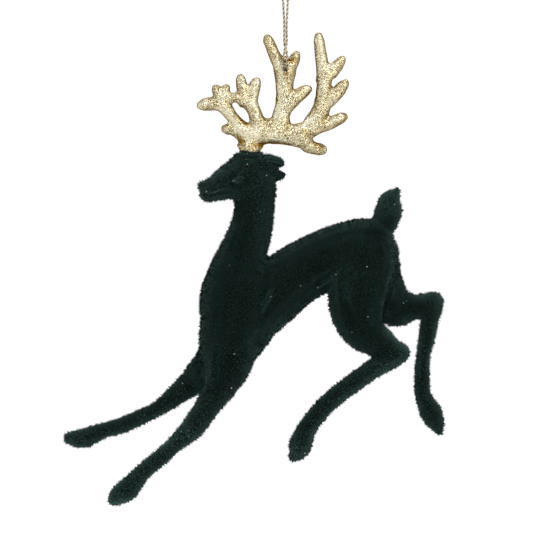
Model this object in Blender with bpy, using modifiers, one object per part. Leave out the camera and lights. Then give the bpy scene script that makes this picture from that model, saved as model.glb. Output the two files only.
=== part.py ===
"""A leaping reindeer ornament: a flocked body, a glittered pair of antlers and a loop of gold thread.

Metres, +Z up. The nose points to -X, the tail to +X and the side that faces a viewer is -Y. The origin
is the inside of the thread loop's top, where a twig bears, and the figure hangs straight below it.
"""

import math

import bmesh
import bpy
from mathutils import Vector

# Driving dimensions.
FIGURE_HEIGHT = 0.1416  # from the lower fore hoof to the tallest antler tip
BODY_WIDTH = 0.0180  # across the ribs and the hips
ANTLER_THICKNESS = 0.0038  # the most, front to back
HANG_DROP = 0.0450  # from the loop's inside top to the middle of the thread hole
CORD_DIAMETER = 0.0006  # the gold thread, one strand
CORD_CLEARANCE = 0.0003  # round each strand in its hole
GLUE_GAP = 0.0003  # between the antlers' foot and the flat on the crown
KNOT_LENGTH = 0.0036  # the stopper knot, across the hole that it is too big for
KNOT_DEPTH = 0.0022
KNOT_GAP = 0.0003  # from the knot to the antlers, and to the strands' ends
KNOT_HEIGHT_SHARE = 0.72  # of its length
TAIL_LENGTH = 0.0040  # the thread's two cut ends below the knot
TAIL_SPREAD_DEG = 12

# The figure is drawn on a grid with its middle at the thread hole: x towards the tail, z up.
SQUARES_HIGH = 472
SQUARES_WIDE = 60  # across the body
SQUARES_THICK = 12  # through the antlers
GRID = FIGURE_HEIGHT / SQUARES_HIGH
SEAT_LEVEL = -80.0  # the antlers' foot on the crown
SEAT_CENTRE = -34.6
SEAT_REACH = 15.0
ROUNDING = 0.5  # what the softening takes off a limb all round, given back to its stations

RING_POINTS = 16
RINGS_PER_SPAN = 4
CAP_ANGLES = (30, 55, 75)
SEAT_SIDES = 48
HOLE_SIDES = 24
HOLE_CUT_DEPTH = 3 * ANTLER_THICKNESS

# How finely each moulding is fused, how often it is softened, and how many triangles it keeps.
BODY_FUSE, BODY_SOFTENING, BODY_TRIANGLES = 0.0006, 6, 5600
ANTLER_FUSE, ANTLER_SOFTENING, ANTLER_TRIANGLES = 0.00036, 3, 2700

# Limbs of the body. A station is (x, z, half its height), along the limb's middle.
# side is how far the middle stands off the body's own middle at the root and the tip,
# and deep is the half width over the half height at the root and the tip.
BODY_LIMBS = {
    "head": dict(
        stations=[
            (-85, -120.3, 8.6), (-80.2, -120.7, 11), (-74.5, -119.8, 12), (-67, -117, 13.8),
            (-59, -113, 16.8), (-50, -110, 20.3), (-38.5, -105.5, 24.3), (-26, -100.5, 22.5),
            (-18, -96.5, 13),
        ],
        side=(0, 0), deep=(0.85, 0.68), blunt=(0.25, 1),
    ),
    "neck": dict(
        stations=[
            (-26.5, -108, 17.5), (-30.3, -129, 19.8), (-31.8, -146, 19.8), (-34, -157, 21),
            (-37.4, -168.5, 22), (-42.8, -184, 23.8), (-46.7, -198.5, 28.9), (-46.5, -214.5, 36.8),
            (-46, -230.5, 39.5), (-47.6, -250.5, 38.8), (-55.4, -271, 32.5), (-61, -286, 27),
        ],
        side=(0, 0), deep=(0.86, 0.80),
    ),
    "barrel": dict(
        stations=[
            (-39, -252.5, 24), (-31.3, -242.2, 30), (-15.2, -226, 31.6), (5.3, -209, 30.5),
            (24, -197.5, 29.8), (43, -188.5, 29.8), (62, -182.5, 30.5), (79, -182.5, 33.3),
            (93.5, -189.5, 25.2), (100, -197, 15.5),
        ],
        side=(0, 0), deep=(0.95, 0.85),
    ),
    "rump": dict(
        stations=[(84, -185, 22), (87, -200, 22.3), (91.5, -213, 20), (98, -226, 17.5), (105, -236, 15)],
        side=(-3, 10), deep=(1.0, 0.6),
    ),
    "near_thigh": dict(
        stations=[
            (75, -185.5, 26), (71.5, -215.5, 28.5), (70.5, -235.5, 27.5), (75, -252.5, 24.5),
            (84.3, -265.5, 19.8), (96.5, -273, 14.3), (105, -278.8, 11.6), (112, -282, 10.8),
        ],
        side=(-15, -14), deep=(0.50, 0.80),
    ),
    "near_hind_shin": dict(
        stations=[
            (115, -282.5, 9.6), (105.5, -288, 10.8), (93.7, -294.8, 9.8), (79.6, -304, 9.5),
            (61, -317.5, 9.4), (43.4, -331.8, 9.2), (27, -349.8, 9.2), (20.3, -360, 9.7),
            (15.3, -372.5, 11.3), (12, -382, 10.2), (7.6, -386, 6),
        ],
        side=(-14, -15), deep=(0.95, 0.90),
    ),
    "far_thigh": dict(
        stations=[
            (89, -202.5, 24.8), (106.5, -236, 20.6), (125, -237.8, 14), (138, -235.2, 11.2),
            (148.5, -233, 11),
        ],
        side=(13, 14), deep=(0.60, 0.90),
    ),
    "far_hind_shin": dict(
        stations=[
            (148, -231.3, 10.2), (146, -242.5, 10), (143.9, -253.5, 8.9), (140.8, -272, 8),
            (138.2, -285.5, 7), (136.8, -303.5, 7.7), (137.5, -323.5, 8), (141, -334, 9.2),
            (146, -343, 11), (150.3, -352.5, 9), (154.8, -363.5, 3.8),
        ],
        side=(14, 15), deep=(0.90, 0.95),
    ),
    "breast": dict(
        stations=[(-62, -284, 20), (-74, -298, 16), (-86, -308, 11)],
        side=(3, 9), deep=(0.9, 0.9),
    ),
    "far_foreleg": dict(
        stations=[
            (-65, -285.5, 21), (-87.5, -307.5, 15.5), (-94, -313, 13.3), (-108.5, -324.4, 10.8),
            (-128, -339, 7.6), (-143.5, -346.6, 7.9), (-163.5, -355.6, 8.1), (-181, -360.3, 7.7),
            (-192, -364.5, 8.9), (-200.5, -368.2, 9.7), (-209, -369, 9), (-217.3, -368.3, 6.3),
        ],
        side=(13, 15), deep=(0.70, 0.95),
    ),
    "near_foreleg": dict(
        stations=[
            (-51, -270.5, 25), (-57, -292.5, 24), (-60.5, -304.3, 20.8), (-65.9, -318.4, 15.6),
            (-73.9, -329.8, 13.6), (-84.6, -346.5, 12), (-94.9, -360, 11.3), (-108.6, -371.9, 8.8),
            (-123, -385.5, 8.4), (-138.8, -398.3, 8.3), (-150.4, -410.6, 9.6), (-158.8, -419.8, 11.2),
            (-168.6, -426.4, 8.9),
        ],
        side=(-13, -15), deep=(0.55, 0.90),
    ),
    "tail": dict(
        stations=[
            (92, -168, 9.6), (98.9, -156.5, 11.2), (101, -148, 13.9), (103.2, -140.5, 14),
            (104, -133.5, 12.4), (106.3, -128.2, 10.5), (110.4, -122.6, 6), (112.8, -118.3, 3),
        ],
        side=(0, 0), deep=(0.70, 0.60),
    ),
    "crown": dict(
        stations=[(-42, -87.5, 6.5), (-34, -85.5, 7.5), (-28.5, -87, 6)],
        side=(0, 0), deep=(1.4, 1.4),
    ),
    "near_ear": dict(
        stations=[
            (-26, -94.5, 7), (-18, -92.6, 7), (-10, -92.3, 6.8), (-4.8, -93.3, 6), (-3, -93.5, 4.3),
        ],
        side=(-9, -17), deep=(0.65, 0.65),
    ),
    "far_ear": dict(
        stations=[(-24, -101, 7), (-13, -104.5, 7), (-6.5, -105, 6.6), (-3, -104.8, 4.6)],
        side=(9, 17), deep=(0.65, 0.65),
    ),
}
for flank, towards in (("near", -1), ("far", 1)):
    BODY_LIMBS[f"{flank}_shoulder"] = dict(
        stations=[(-32, -205, 13), (-36, -225, 21), (-45, -250, 22), (-53, -277, 17)],
        side=(towards * 16, towards * 15), deep=(0.72, 0.80),
    )
    BODY_LIMBS[f"{flank}_eye"] = dict(
        stations=[(-49.5, -110, 2), (-46.5, -109.3, 3), (-43.5, -109, 2.2)],
        side=(towards * 16, towards * 16.8), deep=(0.9, 0.9),
    )
    BODY_LIMBS[f"{flank}_haunch"] = dict(
        stations=[(88, -190, 15), (83, -208, 20.5), (79, -230, 20), (77, -246, 14)],
        side=(towards * 13, towards * 17), deep=(0.85, 0.80),
    )

# Branches of the antlers, in the same terms.
ANTLER_LIMBS = {
    "burr": dict(
        stations=[(-34.6, -84, 9.5), (-35.2, -77, 12), (-34.5, -73, 10.7), (-34, -66, 11)],
        side=(0, 0), deep=(0.78, 0.60),
    ),
    "palm": dict(
        stations=[
            (-48, -62.5, 6), (-40, -64.5, 10.8), (-30, -64, 12.4), (-17.5, -61, 12.6),
            (-5, -62, 12.4), (5.5, -65, 10.8), (19.5, -65, 13.2), (24.8, -63, 7),
        ],
        side=(-1, 1), deep=(0.55, 0.55),
    ),
    "brow_knob": dict(
        stations=[
            (-60, -59, 4.6), (-57.5, -59.2, 5.5), (-53.5, -60.5, 4.2), (-48, -62.5, 5.6),
            (-40, -64.5, 8),
        ],
        side=(-2, 0), deep=(0.95, 0.65),
    ),
    "left_branch": dict(
        stations=[
            (-43.5, -58, 7), (-49, -52, 5.9), (-54.5, -45.5, 6), (-59.5, -38.5, 6.6),
            (-67, -34, 6.8), (-76.3, -34, 6.3), (-82, -35, 5.8), (-85.3, -35.8, 4),
        ],
        side=(-1, -4), deep=(0.85, 0.85),
    ),
    "left_tine_outer": dict(
        stations=[(-67, -31, 6.5), (-68.7, -21.2, 5.4), (-69.8, -18.4, 4.2)],
        side=(-3, -4), deep=(0.75, 0.85),
    ),
    "left_tine_inner": dict(
        stations=[(-62, -30, 7.2), (-60.6, -21.2, 5.5), (-59, -18.2, 4)],
        side=(-3, -3), deep=(0.75, 0.85),
    ),
    "second_branch": dict(
        stations=[
            (-25, -56.5, 9), (-28.5, -49.5, 7.3), (-31.5, -41, 6.5), (-35, -32.5, 7.4),
            (-32.8, -25.3, 6), (-31.2, -18, 5.7), (-29.5, -12.4, 5.3), (-29.2, -11, 4.1),
        ],
        side=(0, -3), deep=(0.85, 0.85),
    ),
    "second_tine": dict(
        stations=[
            (-41.5, -31.5, 6.7), (-42.6, -21.5, 5.4), (-44, -14.5, 5.1), (-44.8, -9, 4.8),
            (-45, -7.6, 3.9),
        ],
        side=(-2, -3), deep=(0.85, 0.85),
    ),
    "arch": dict(
        stations=[(-36, -34.5, 6), (-43, -29, 6), (-51, -27.8, 4.6), (-58, -29.5, 4.8)],
        side=(-2, -3), deep=(0.85, 0.85),
    ),
    "middle_branch": dict(
        stations=[
            (-5, -56.5, 10.3), (-4.5, -46, 8.7), (-2, -38, 8.7), (-0.2, -24, 9), (-0.9, -14.5, 8.8),
            (-0.5, -2, 11.1), (-0.4, 3.5, 11.2),
        ],
        side=(0, 0), deep=(0.62, 0.52),
    ),
    "middle_tine_left": dict(
        stations=[
            (-5.8, 5.5, 6.3), (-10.6, 14, 5.8), (-14.3, 23, 5.4), (-17.2, 29.4, 5.1), (-18, 31.8, 4.1),
        ],
        side=(0, -1), deep=(0.9, 0.85),
    ),
    "middle_tine_right": dict(
        stations=[(4, 1.5, 6.5), (7.8, 9, 6), (10.2, 13.7, 5), (11.2, 15.8, 3.7)],
        side=(0, 1), deep=(0.85, 0.85),
    ),
    "middle_tine_low": dict(
        stations=[
            (1.5, -35.5, 7.5), (9.8, -27.9, 6.8), (17.2, -22.3, 6), (22, -19.5, 5),
            (23.2, -19, 3.9),
        ],
        side=(0, 2), deep=(0.75, 0.85),
    ),
    "right_branch": dict(
        stations=[
            (27.5, -53.5, 9.5), (33.3, -44.5, 9.1), (36.8, -35, 8.3), (38.7, -21.5, 7.8),
            (38.3, -11, 6.8), (37.2, 3, 6.4), (35.4, 15.7, 5.8), (33.4, 30, 5.1), (33.1, 34, 3.9),
        ],
        side=(1, 4), deep=(0.68, 0.90),
    ),
    "right_tine_top": dict(
        stations=[
            (38.5, -10, 8.2), (46.3, -1.8, 6.9), (52.7, 5.7, 5.4), (56.4, 10.3, 4.3), (57.2, 11.5, 3.3),
        ],
        side=(3, 4), deep=(0.8, 0.85),
    ),
    "right_tine_middle": dict(
        stations=[
            (37, -34, 8), (47.2, -26.9, 7), (54.6, -19.8, 5.8), (59.4, -13.5, 4.6), (60.3, -12.3, 3.4),
        ],
        side=(2, 3), deep=(0.75, 0.85),
    ),
    "right_tine_low": dict(
        stations=[
            (23, -60.5, 8), (32, -56.3, 7.6), (42, -54.5, 6.2), (51, -50.2, 5.9), (57, -47.3, 5.2),
            (59, -46.8, 3.8),
        ],
        side=(1, 2), deep=(0.7, 0.85),
    ),
    "right_tine_back": dict(
        stations=[
            (14, -67.5, 8.5), (21.5, -74.7, 6.2), (29, -77.6, 5.5), (35.6, -78.8, 5.2), (37.6, -79.3, 4),
        ],
        side=(1, 1), deep=(0.75, 0.9),
    ),
}

# The thread's rising strand, from the back of its hole to the loop's top, in metres about the
# hole's middle. The falling strand is the same turned half round the pair's own middle, which
# leans forward to the hole's front, and below the twist the two run side by side.
STRAND = [
    (0.00055, 0.00190, 0.0000), (0.00055, 0.00080, 0.0000), (0.00055, -0.00060, 0.0000),
    (0.00057, -0.00175, 0.0001), (0.00060, -0.00262, 0.0005), (0.00064, -0.00300, 0.0013),
    (0.00064, -0.00290, 0.0025), (0.00056, -0.00262, 0.0041), (0.00032, -0.00231, 0.0056),
    (-0.00008, -0.00210, 0.0069), (-0.00045, -0.00245, 0.0083), (-0.00032, -0.00267, 0.0097),
    (0.00012, -0.00271, 0.0110), (0.00045, -0.00217, 0.0124), (0.00056, -0.00170, 0.0145),
    (0.00062, -0.00142, 0.0175), (0.00074, -0.00120, 0.0210), (0.00110, -0.00092, 0.0262),
    (0.00170, -0.00062, 0.0320), (0.00225, -0.00036, 0.0370), (0.00240, -0.00018, 0.0405),
    (0.00200, -0.00006, 0.0433), (0.00110, 0.00000, 0.0449),
]
LEAN_AT_HOLE = -0.0030  # where the pair's middle comes down in front of the hole
TWIST_FROM = 0.0030  # above the hole's middle
ROUTE_STEPS = 12  # between the route's points, before the tube's points are spaced out
CORD_STEP = 2.5  # diameters between the tube's points
CORD_SIDES = 2  # the tube's bevel resolution
KNOT_SIDES, KNOT_RINGS, TAIL_SIDES = 18, 10, 10


def clear_scene():
    for thing in list(bpy.data.objects):
        bpy.data.objects.remove(thing)


def collection(name):
    made = bpy.data.collections.new(name)
    bpy.context.scene.collection.children.link(made)
    return made


def material(name, colour, roughness, metallic):
    made = bpy.data.materials.new(name)
    made.use_nodes = True
    shader = made.node_tree.nodes["Principled BSDF"]
    shader.inputs["Base Color"].default_value = (*colour, 1)
    shader.inputs["Roughness"].default_value = roughness
    shader.inputs["Metallic"].default_value = metallic
    return made


def smooth_line(rows, per_span):
    """Points on a Catmull-Rom curve through rows of numbers, per_span to a span."""
    rows = [Vector(row) for row in rows]
    ends = [rows[0] * 2 - rows[1], *rows, rows[-1] * 2 - rows[-2]]
    line = []
    for before, start, end, after in zip(ends, ends[1:], ends[2:], ends[3:]):
        for step in range(per_span):
            t = step / per_span
            line.append(
                (
                    start * 2
                    + (end - before) * t
                    + (before * 2 - start * 5 + end * 4 - after) * t**2
                    + (start * 3 - before - end * 3 + after) * t**3
                )
                / 2
            )
    return line + [rows[-1]]


def limb_rows(limb):
    """A limb's stations as rows of (x, z, half height, offset to the side, half width), in squares."""
    stations = limb["stations"]
    rows = []
    for i, (x, z, half) in enumerate(stations):
        t = i / (len(stations) - 1)
        side = limb["side"][0] * (1 - t) + limb["side"][1] * t
        deep = half * (limb["deep"][0] * (1 - t) + limb["deep"][1] * t)
        rows.append((x, z, half, side, deep))
    return smooth_line(rows, RINGS_PER_SPAN)


def add_limb(bm, limb, across):
    """A closed loft of ovals along a limb, with rounded ends."""
    rows = limb_rows(limb)
    rings = []

    def ring(row, along, shift, scale):
        x, z, half, side, deep = row
        half, deep = half + ROUNDING, deep + ROUNDING
        square_on = Vector((-along.z, 0, along.x))
        middle = Vector((x, 0, z)) * GRID + Vector((0, side * across, 0)) + along * shift
        points = []
        for i in range(RING_POINTS):
            angle = 2 * math.pi * i / RING_POINTS
            points.append(
                bm.verts.new(
                    middle
                    + square_on * (half * GRID * scale * math.cos(angle))
                    + Vector((0, deep * across * scale * math.sin(angle), 0))
                )
            )
        rings.append(points)

    def direction(i):
        back, on = rows[max(i - 1, 0)], rows[min(i + 1, len(rows) - 1)]
        return Vector((on[0] - back[0], 0, on[1] - back[1])).normalized()

    first, last = direction(0), direction(len(rows) - 1)
    root_reach, tip_reach = limb.get("blunt", (1, 1))
    root, tip = rows[0], rows[-1]
    for angle in reversed(CAP_ANGLES):
        reach = root_reach * root[2] * GRID
        ring(root, first, -reach * math.sin(math.radians(angle)), math.cos(math.radians(angle)))
    for i, row in enumerate(rows):
        ring(row, direction(i), 0, 1)
    for angle in CAP_ANGLES:
        reach = tip_reach * tip[2] * GRID
        ring(tip, last, reach * math.sin(math.radians(angle)), math.cos(math.radians(angle)))

    for lower, upper in zip(rings, rings[1:]):
        for i in range(RING_POINTS):
            j = (i + 1) % RING_POINTS
            bm.faces.new((lower[i], lower[j], upper[j], upper[i]))
    bm.faces.new(reversed(rings[0]))
    bm.faces.new(rings[-1])


def evaluated_mesh(obj):
    graph = bpy.context.evaluated_depsgraph_get()
    return bpy.data.meshes.new_from_object(obj.evaluated_get(graph))


def apply_modifiers(obj):
    before = obj.data
    obj.data = evaluated_mesh(obj)
    obj.modifiers.clear()
    bpy.data.meshes.remove(before)


def moulding(name, limbs, across, voxel, rounds, triangles, finish, home):
    """One fused casting of all the limbs, rounded where they meet, with a set number of triangles."""
    bm = bmesh.new()
    for limb in limbs.values():
        add_limb(bm, limb, across)
    bmesh.ops.recalc_face_normals(bm, faces=bm.faces)
    mesh = bpy.data.meshes.new(name)
    bm.to_mesh(mesh)
    bm.free()
    obj = bpy.data.objects.new(name, mesh)
    home.objects.link(obj)

    fuse = obj.modifiers.new("fuse", "REMESH")
    fuse.mode = "VOXEL"
    fuse.voxel_size = voxel
    soften = obj.modifiers.new("soften", "SMOOTH")
    soften.factor = 0.5
    soften.iterations = rounds
    apply_modifiers(obj)

    obj.data.calc_loop_triangles()
    reduce = obj.modifiers.new("reduce", "DECIMATE")
    reduce.ratio = triangles / len(obj.data.loop_triangles)
    reduce.use_collapse_triangulate = True
    apply_modifiers(obj)
    obj.data.materials.append(finish)
    obj.location.z = -HANG_DROP
    return obj


def take_in(name, home):
    """Names the shape that was just added and moves it to a collection."""
    obj = bpy.context.object
    obj.name = obj.data.name = name
    for other in list(obj.users_collection):
        other.objects.unlink(obj)
    home.objects.link(obj)
    return obj


def cutter(name, home):
    obj = take_in(name, home)
    obj.hide_render = True
    obj.display_type = "WIRE"
    return obj


def join_or_cut(obj, operation, tool):
    step = obj.modifiers.new(tool.name, "BOOLEAN")
    step.operation = operation
    step.solver = "EXACT"
    step.object = tool


def build_body(home, cutters):
    body = moulding(
        "flocked_body", BODY_LIMBS, BODY_WIDTH / SQUARES_WIDE, BODY_FUSE, BODY_SOFTENING, BODY_TRIANGLES,
        material("dark_green_flock", (0.007, 0.014, 0.012), 0.95, 0.0), home,
    )
    seat_height = SEAT_REACH * GRID
    bpy.ops.mesh.primitive_cylinder_add(
        vertices=SEAT_SIDES, radius=SEAT_REACH * GRID, depth=seat_height,
        location=(SEAT_CENTRE * GRID, 0, SEAT_LEVEL * GRID - HANG_DROP - GLUE_GAP + seat_height / 2),
    )
    join_or_cut(body, "DIFFERENCE", cutter("seat_cutter", cutters))
    return body


def build_antlers(home, cutters):
    antlers = moulding(
        "glitter_antlers", ANTLER_LIMBS, ANTLER_THICKNESS / SQUARES_THICK,
        ANTLER_FUSE, ANTLER_SOFTENING, ANTLER_TRIANGLES,
        material("gold_glitter", (0.60, 0.52, 0.33), 0.35, 0.7), home,
    )
    foot_depth = 2 * SEAT_REACH * GRID
    bpy.ops.mesh.primitive_cube_add(
        size=1, location=(SEAT_CENTRE * GRID, 0, SEAT_LEVEL * GRID - HANG_DROP - foot_depth / 2)
    )
    foot = cutter("foot_cutter", cutters)
    foot.scale = (2 * SEAT_REACH * GRID, BODY_WIDTH, foot_depth)
    join_or_cut(antlers, "DIFFERENCE", foot)

    hole = 2 * (STRAND[0][0] + CORD_DIAMETER / 2 + CORD_CLEARANCE)
    bpy.ops.mesh.primitive_cylinder_add(
        vertices=HOLE_SIDES, radius=hole / 2, depth=HOLE_CUT_DEPTH,
        location=(0, 0, -HANG_DROP), rotation=(math.pi / 2, 0, 0),
    )
    join_or_cut(antlers, "DIFFERENCE", cutter("hole_cutter", cutters))
    return antlers


def cord_line():
    """The thread's middle line: up one strand, over the loop's top and down the other."""
    top = HANG_DROP + CORD_DIAMETER / 2
    rising = [Vector(point) for point in STRAND]
    falling = []
    for x, y, z in STRAND:
        lean = LEAN_AT_HOLE * max(0.0, 1 - z / HANG_DROP)
        falling.append(Vector((-x, y if z < TWIST_FROM else 2 * lean - y, z)))
    route = rising + [Vector((0, 0, top))] + falling[::-1]
    fine = smooth_line(route, ROUTE_STEPS)
    lengths = [0.0]
    for a, b in zip(fine, fine[1:]):
        lengths.append(lengths[-1] + (b - a).length)
    count = round(lengths[-1] / (CORD_STEP * CORD_DIAMETER))
    line, i = [], 0
    for k in range(count + 1):
        reach = lengths[-1] * k / count
        while i < len(fine) - 2 and lengths[i + 1] < reach:
            i += 1
        t = (reach - lengths[i]) / (lengths[i + 1] - lengths[i])
        line.append(fine[i].lerp(fine[i + 1], t) - Vector((0, 0, HANG_DROP)))
    return line


def build_cord(home, finish):
    line = cord_line()
    curve = bpy.data.curves.new("hanging_cord", "CURVE")
    curve.dimensions = "3D"
    curve.bevel_depth = CORD_DIAMETER / 2
    curve.bevel_resolution = CORD_SIDES
    curve.use_fill_caps = True
    spline = curve.splines.new("POLY")
    spline.points.add(len(line) - 1)
    for point, place in zip(spline.points, line):
        point.co = (*place, 1)
    curve.materials.append(finish)
    cord = bpy.data.objects.new("hanging_cord", curve)
    home.objects.link(cord)
    return cord


def build_knot(home, cutters, finish):
    """The stopper knot behind the hole, with the thread's two cut ends hanging from it."""
    middle = Vector((0, ANTLER_THICKNESS / 2 + KNOT_GAP + KNOT_DEPTH / 2, -HANG_DROP))
    bpy.ops.mesh.primitive_uv_sphere_add(
        segments=KNOT_SIDES, ring_count=KNOT_RINGS, radius=0.5, location=middle
    )
    knot = take_in("cord_knot", home)
    knot.scale = (KNOT_LENGTH, KNOT_DEPTH, KNOT_LENGTH * KNOT_HEIGHT_SHARE)
    bpy.ops.object.transform_apply(location=False, rotation=False, scale=True)
    for name, swing in (("left_end", -1), ("right_end", 1)):
        lean = math.radians(swing * TAIL_SPREAD_DEG)
        reach = TAIL_LENGTH + KNOT_LENGTH * KNOT_HEIGHT_SHARE / 2
        along = Vector((math.sin(lean), 0, -math.cos(lean)))
        bpy.ops.mesh.primitive_cylinder_add(
            vertices=TAIL_SIDES, radius=CORD_DIAMETER / 2, depth=reach,
            location=middle + along * reach / 2 + Vector((swing * CORD_DIAMETER, 0, 0)),
            rotation=(0, -lean, 0),
        )
        join_or_cut(knot, "UNION", cutter(name, cutters))
    knot.data.materials.append(finish)
    return knot


def main():
    clear_scene()
    home = collection("reindeer_ornament")
    cutters = collection("cutters")
    thread = material("gold_thread", (0.55, 0.42, 0.17), 0.35, 0.8)
    build_body(home, cutters)
    build_antlers(home, cutters)
    build_cord(home, thread)
    build_knot(home, cutters, thread)


main()
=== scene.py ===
"""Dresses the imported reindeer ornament: flock, glitter and twisted gold thread, in a white studio."""

import math
import random

import bmesh
import bpy
import numpy as np
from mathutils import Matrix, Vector, noise
from mathutils.bvhtree import BVHTree


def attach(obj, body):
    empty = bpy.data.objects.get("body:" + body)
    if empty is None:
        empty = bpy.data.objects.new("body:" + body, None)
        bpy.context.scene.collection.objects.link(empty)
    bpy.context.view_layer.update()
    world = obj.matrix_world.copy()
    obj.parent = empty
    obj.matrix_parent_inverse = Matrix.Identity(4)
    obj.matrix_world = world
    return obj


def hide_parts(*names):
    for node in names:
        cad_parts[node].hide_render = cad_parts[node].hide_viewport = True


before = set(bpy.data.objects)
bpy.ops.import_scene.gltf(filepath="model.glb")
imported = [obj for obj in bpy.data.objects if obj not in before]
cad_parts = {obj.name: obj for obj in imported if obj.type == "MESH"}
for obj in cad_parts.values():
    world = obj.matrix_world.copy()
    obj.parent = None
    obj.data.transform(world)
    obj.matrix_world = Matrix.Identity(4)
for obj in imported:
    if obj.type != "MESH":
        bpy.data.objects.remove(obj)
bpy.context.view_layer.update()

# The studio
# A white room with a pale floor well under the hanging figure, seen level with its middle through
# a long lens. A soft panel lights it from the right and above, as in the photo, a weaker one from
# the left, and a third its back.
PICTURE_WIDTH = 0.162
PICTURE_CENTRE = Vector((-0.00465, 0.0, -0.1050))
LENS_MM, SENSOR_MM = 400.0, 36.0
FLOOR_HEIGHT, FLOOR_REACH, FLOOR_SIDES = -0.26, 1.6, 96
BACKDROP = 1.05  # the brightness that the camera sees behind the figure
BRIGHT_FROM = (0.55, -0.35, 0.76)  # where the unseen walls are brightest
DARK_WALL, BRIGHT_WALL = 0.04, 1.05
OPENING_SCALE, OPENING_EDGES = 2.4, (0.42, 0.58)
OPENINGS = (0.15, 1.85)  # dark gaps and windows in the walls, as shares of their brightness
# Each soft panel: its place, its size and its power.
PANELS = {
    "right_panel": ((0.85, -0.95, 0.75), 0.55, 12.5),
    "left_panel": ((-1.1, -0.7, 0.1), 0.7, 4.0),
    "back_panel": ((-0.3, 1.0, 0.8), 0.7, 6.0),
}


def add_node(tree, kind, feeds=None, **settings):
    """Adds a node with its settings, and feeds its inputs from values, outputs or whole nodes.
    A whole node feeds its first output."""
    made = tree.nodes.new(kind)
    for name, value in settings.items():
        setattr(made, name, value)
    for name, value in (feeds or {}).items():
        if isinstance(value, bpy.types.Node):
            value = value.outputs[0]
        if isinstance(value, bpy.types.NodeSocket):
            tree.links.new(value, made.inputs[name])
        else:
            made.inputs[name].default_value = value
    return made


def maths(tree, operation, first, second=0.0, third=0.0):
    feeds = {0: first, 1: second, 2: third}
    return add_node(tree, "ShaderNodeMath", feeds, operation=operation).outputs[0]


def vectors(tree, operation, first, second=(0, 0, 0)):
    """The sum, difference or the like of two vectors, which for some is a number."""
    made = add_node(tree, "ShaderNodeVectorMath", {0: first, 1: second}, operation=operation)
    return made.outputs["Value" if operation in ("DOT_PRODUCT", "DISTANCE") else "Vector"]


def ranged(tree, value, lowest, highest, low=0.0, high=1.0):
    """A value taken from one range to another, and held within it."""
    feeds = {"Value": value, "From Min": lowest, "From Max": highest, "To Min": low, "To Max": high}
    return add_node(tree, "ShaderNodeMapRange", feeds).outputs[0]


def noise_at(tree, place, scale, detail, output="Fac"):
    feeds = {"Vector": place, "Scale": scale, "Detail": detail}
    return add_node(tree, "ShaderNodeTexNoise", feeds).outputs[output]


def new_material(name):
    made = bpy.data.materials.new(name)
    made.use_nodes = True
    made.node_tree.nodes.clear()
    return made, made.node_tree


def finish_material(tree, **feeds):
    """The one plain shader of a material and its output, fed by named sockets."""
    named = {name.replace("_", " "): value for name, value in feeds.items()}
    shader = add_node(tree, "ShaderNodeBsdfPrincipled", named)
    add_node(tree, "ShaderNodeOutputMaterial", {"Surface": shader})


def new_object(name, data):
    made = bpy.data.objects.new(name, data)
    bpy.context.scene.collection.objects.link(made)
    return made


def object_of(name, bm):
    """An object with the mesh that was built, whose working copy is freed."""
    mesh = bpy.data.meshes.new(name)
    bm.to_mesh(mesh)
    bm.free()
    return new_object(name, mesh)


def pale_floor():
    bm = bmesh.new()
    bmesh.ops.create_circle(bm, cap_ends=True, radius=FLOOR_REACH, segments=FLOOR_SIDES)
    bmesh.ops.translate(bm, vec=(0, 0, FLOOR_HEIGHT), verts=bm.verts)
    floor = object_of("pale_floor", bm)
    paint, tree = new_material("pale_floor_paint")
    finish_material(tree, Base_Color=(0.90, 0.90, 0.90, 1), Roughness=0.9)
    floor.data.materials.append(paint)
    return floor


def long_lens():
    lens = bpy.data.cameras.new("camera")
    lens.lens, lens.sensor_width = LENS_MM, SENSOR_MM
    eye = new_object("camera", lens)
    distance = PICTURE_WIDTH * LENS_MM / SENSOR_MM
    eye.location = PICTURE_CENTRE - Vector((0, distance, 0))
    eye.rotation_euler = (math.pi / 2, 0, 0)
    return eye


def soft_panel(name, place, size, power):
    lamp = bpy.data.lights.new(name, "AREA")
    lamp.shape = "DISK"
    lamp.size, lamp.energy = size, power
    panel = new_object(name, lamp)
    panel.location = place
    panel.rotation_euler = (PICTURE_CENTRE - Vector(place)).to_track_quat("-Z", "Y").to_euler()


def white_room():
    """Walls brighter to one side, with windows and dark gaps. The camera sees an even white instead."""
    room = bpy.data.worlds.new("white_room")
    room.use_nodes = True
    tree = room.node_tree
    tree.nodes.clear()
    around = add_node(tree, "ShaderNodeTexCoord").outputs["Generated"]
    facing = vectors(tree, "DOT_PRODUCT", around, BRIGHT_FROM)
    walls = ranged(tree, facing, -1.0, 1.0, DARK_WALL, BRIGHT_WALL)
    openings = ranged(tree, noise_at(tree, around, OPENING_SCALE, 1.0), *OPENING_EDGES, *OPENINGS)
    seen = add_node(tree, "ShaderNodeLightPath").outputs["Is Camera Ray"]
    strength = ranged(tree, seen, 0.0, 1.0, maths(tree, "MULTIPLY", walls, openings), BACKDROP)
    glow = add_node(tree, "ShaderNodeBackground", {"Color": (1, 1, 1, 1), "Strength": strength})
    add_node(tree, "ShaderNodeOutputWorld", {"Surface": glow})
    return room


floor = pale_floor()
bpy.context.scene.camera = long_lens()
for name, (place, size, power) in PANELS.items():
    soft_panel(name, place, size, power)
bpy.context.scene.world = white_room()
bpy.context.scene.view_settings.view_transform = "Standard"

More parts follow.
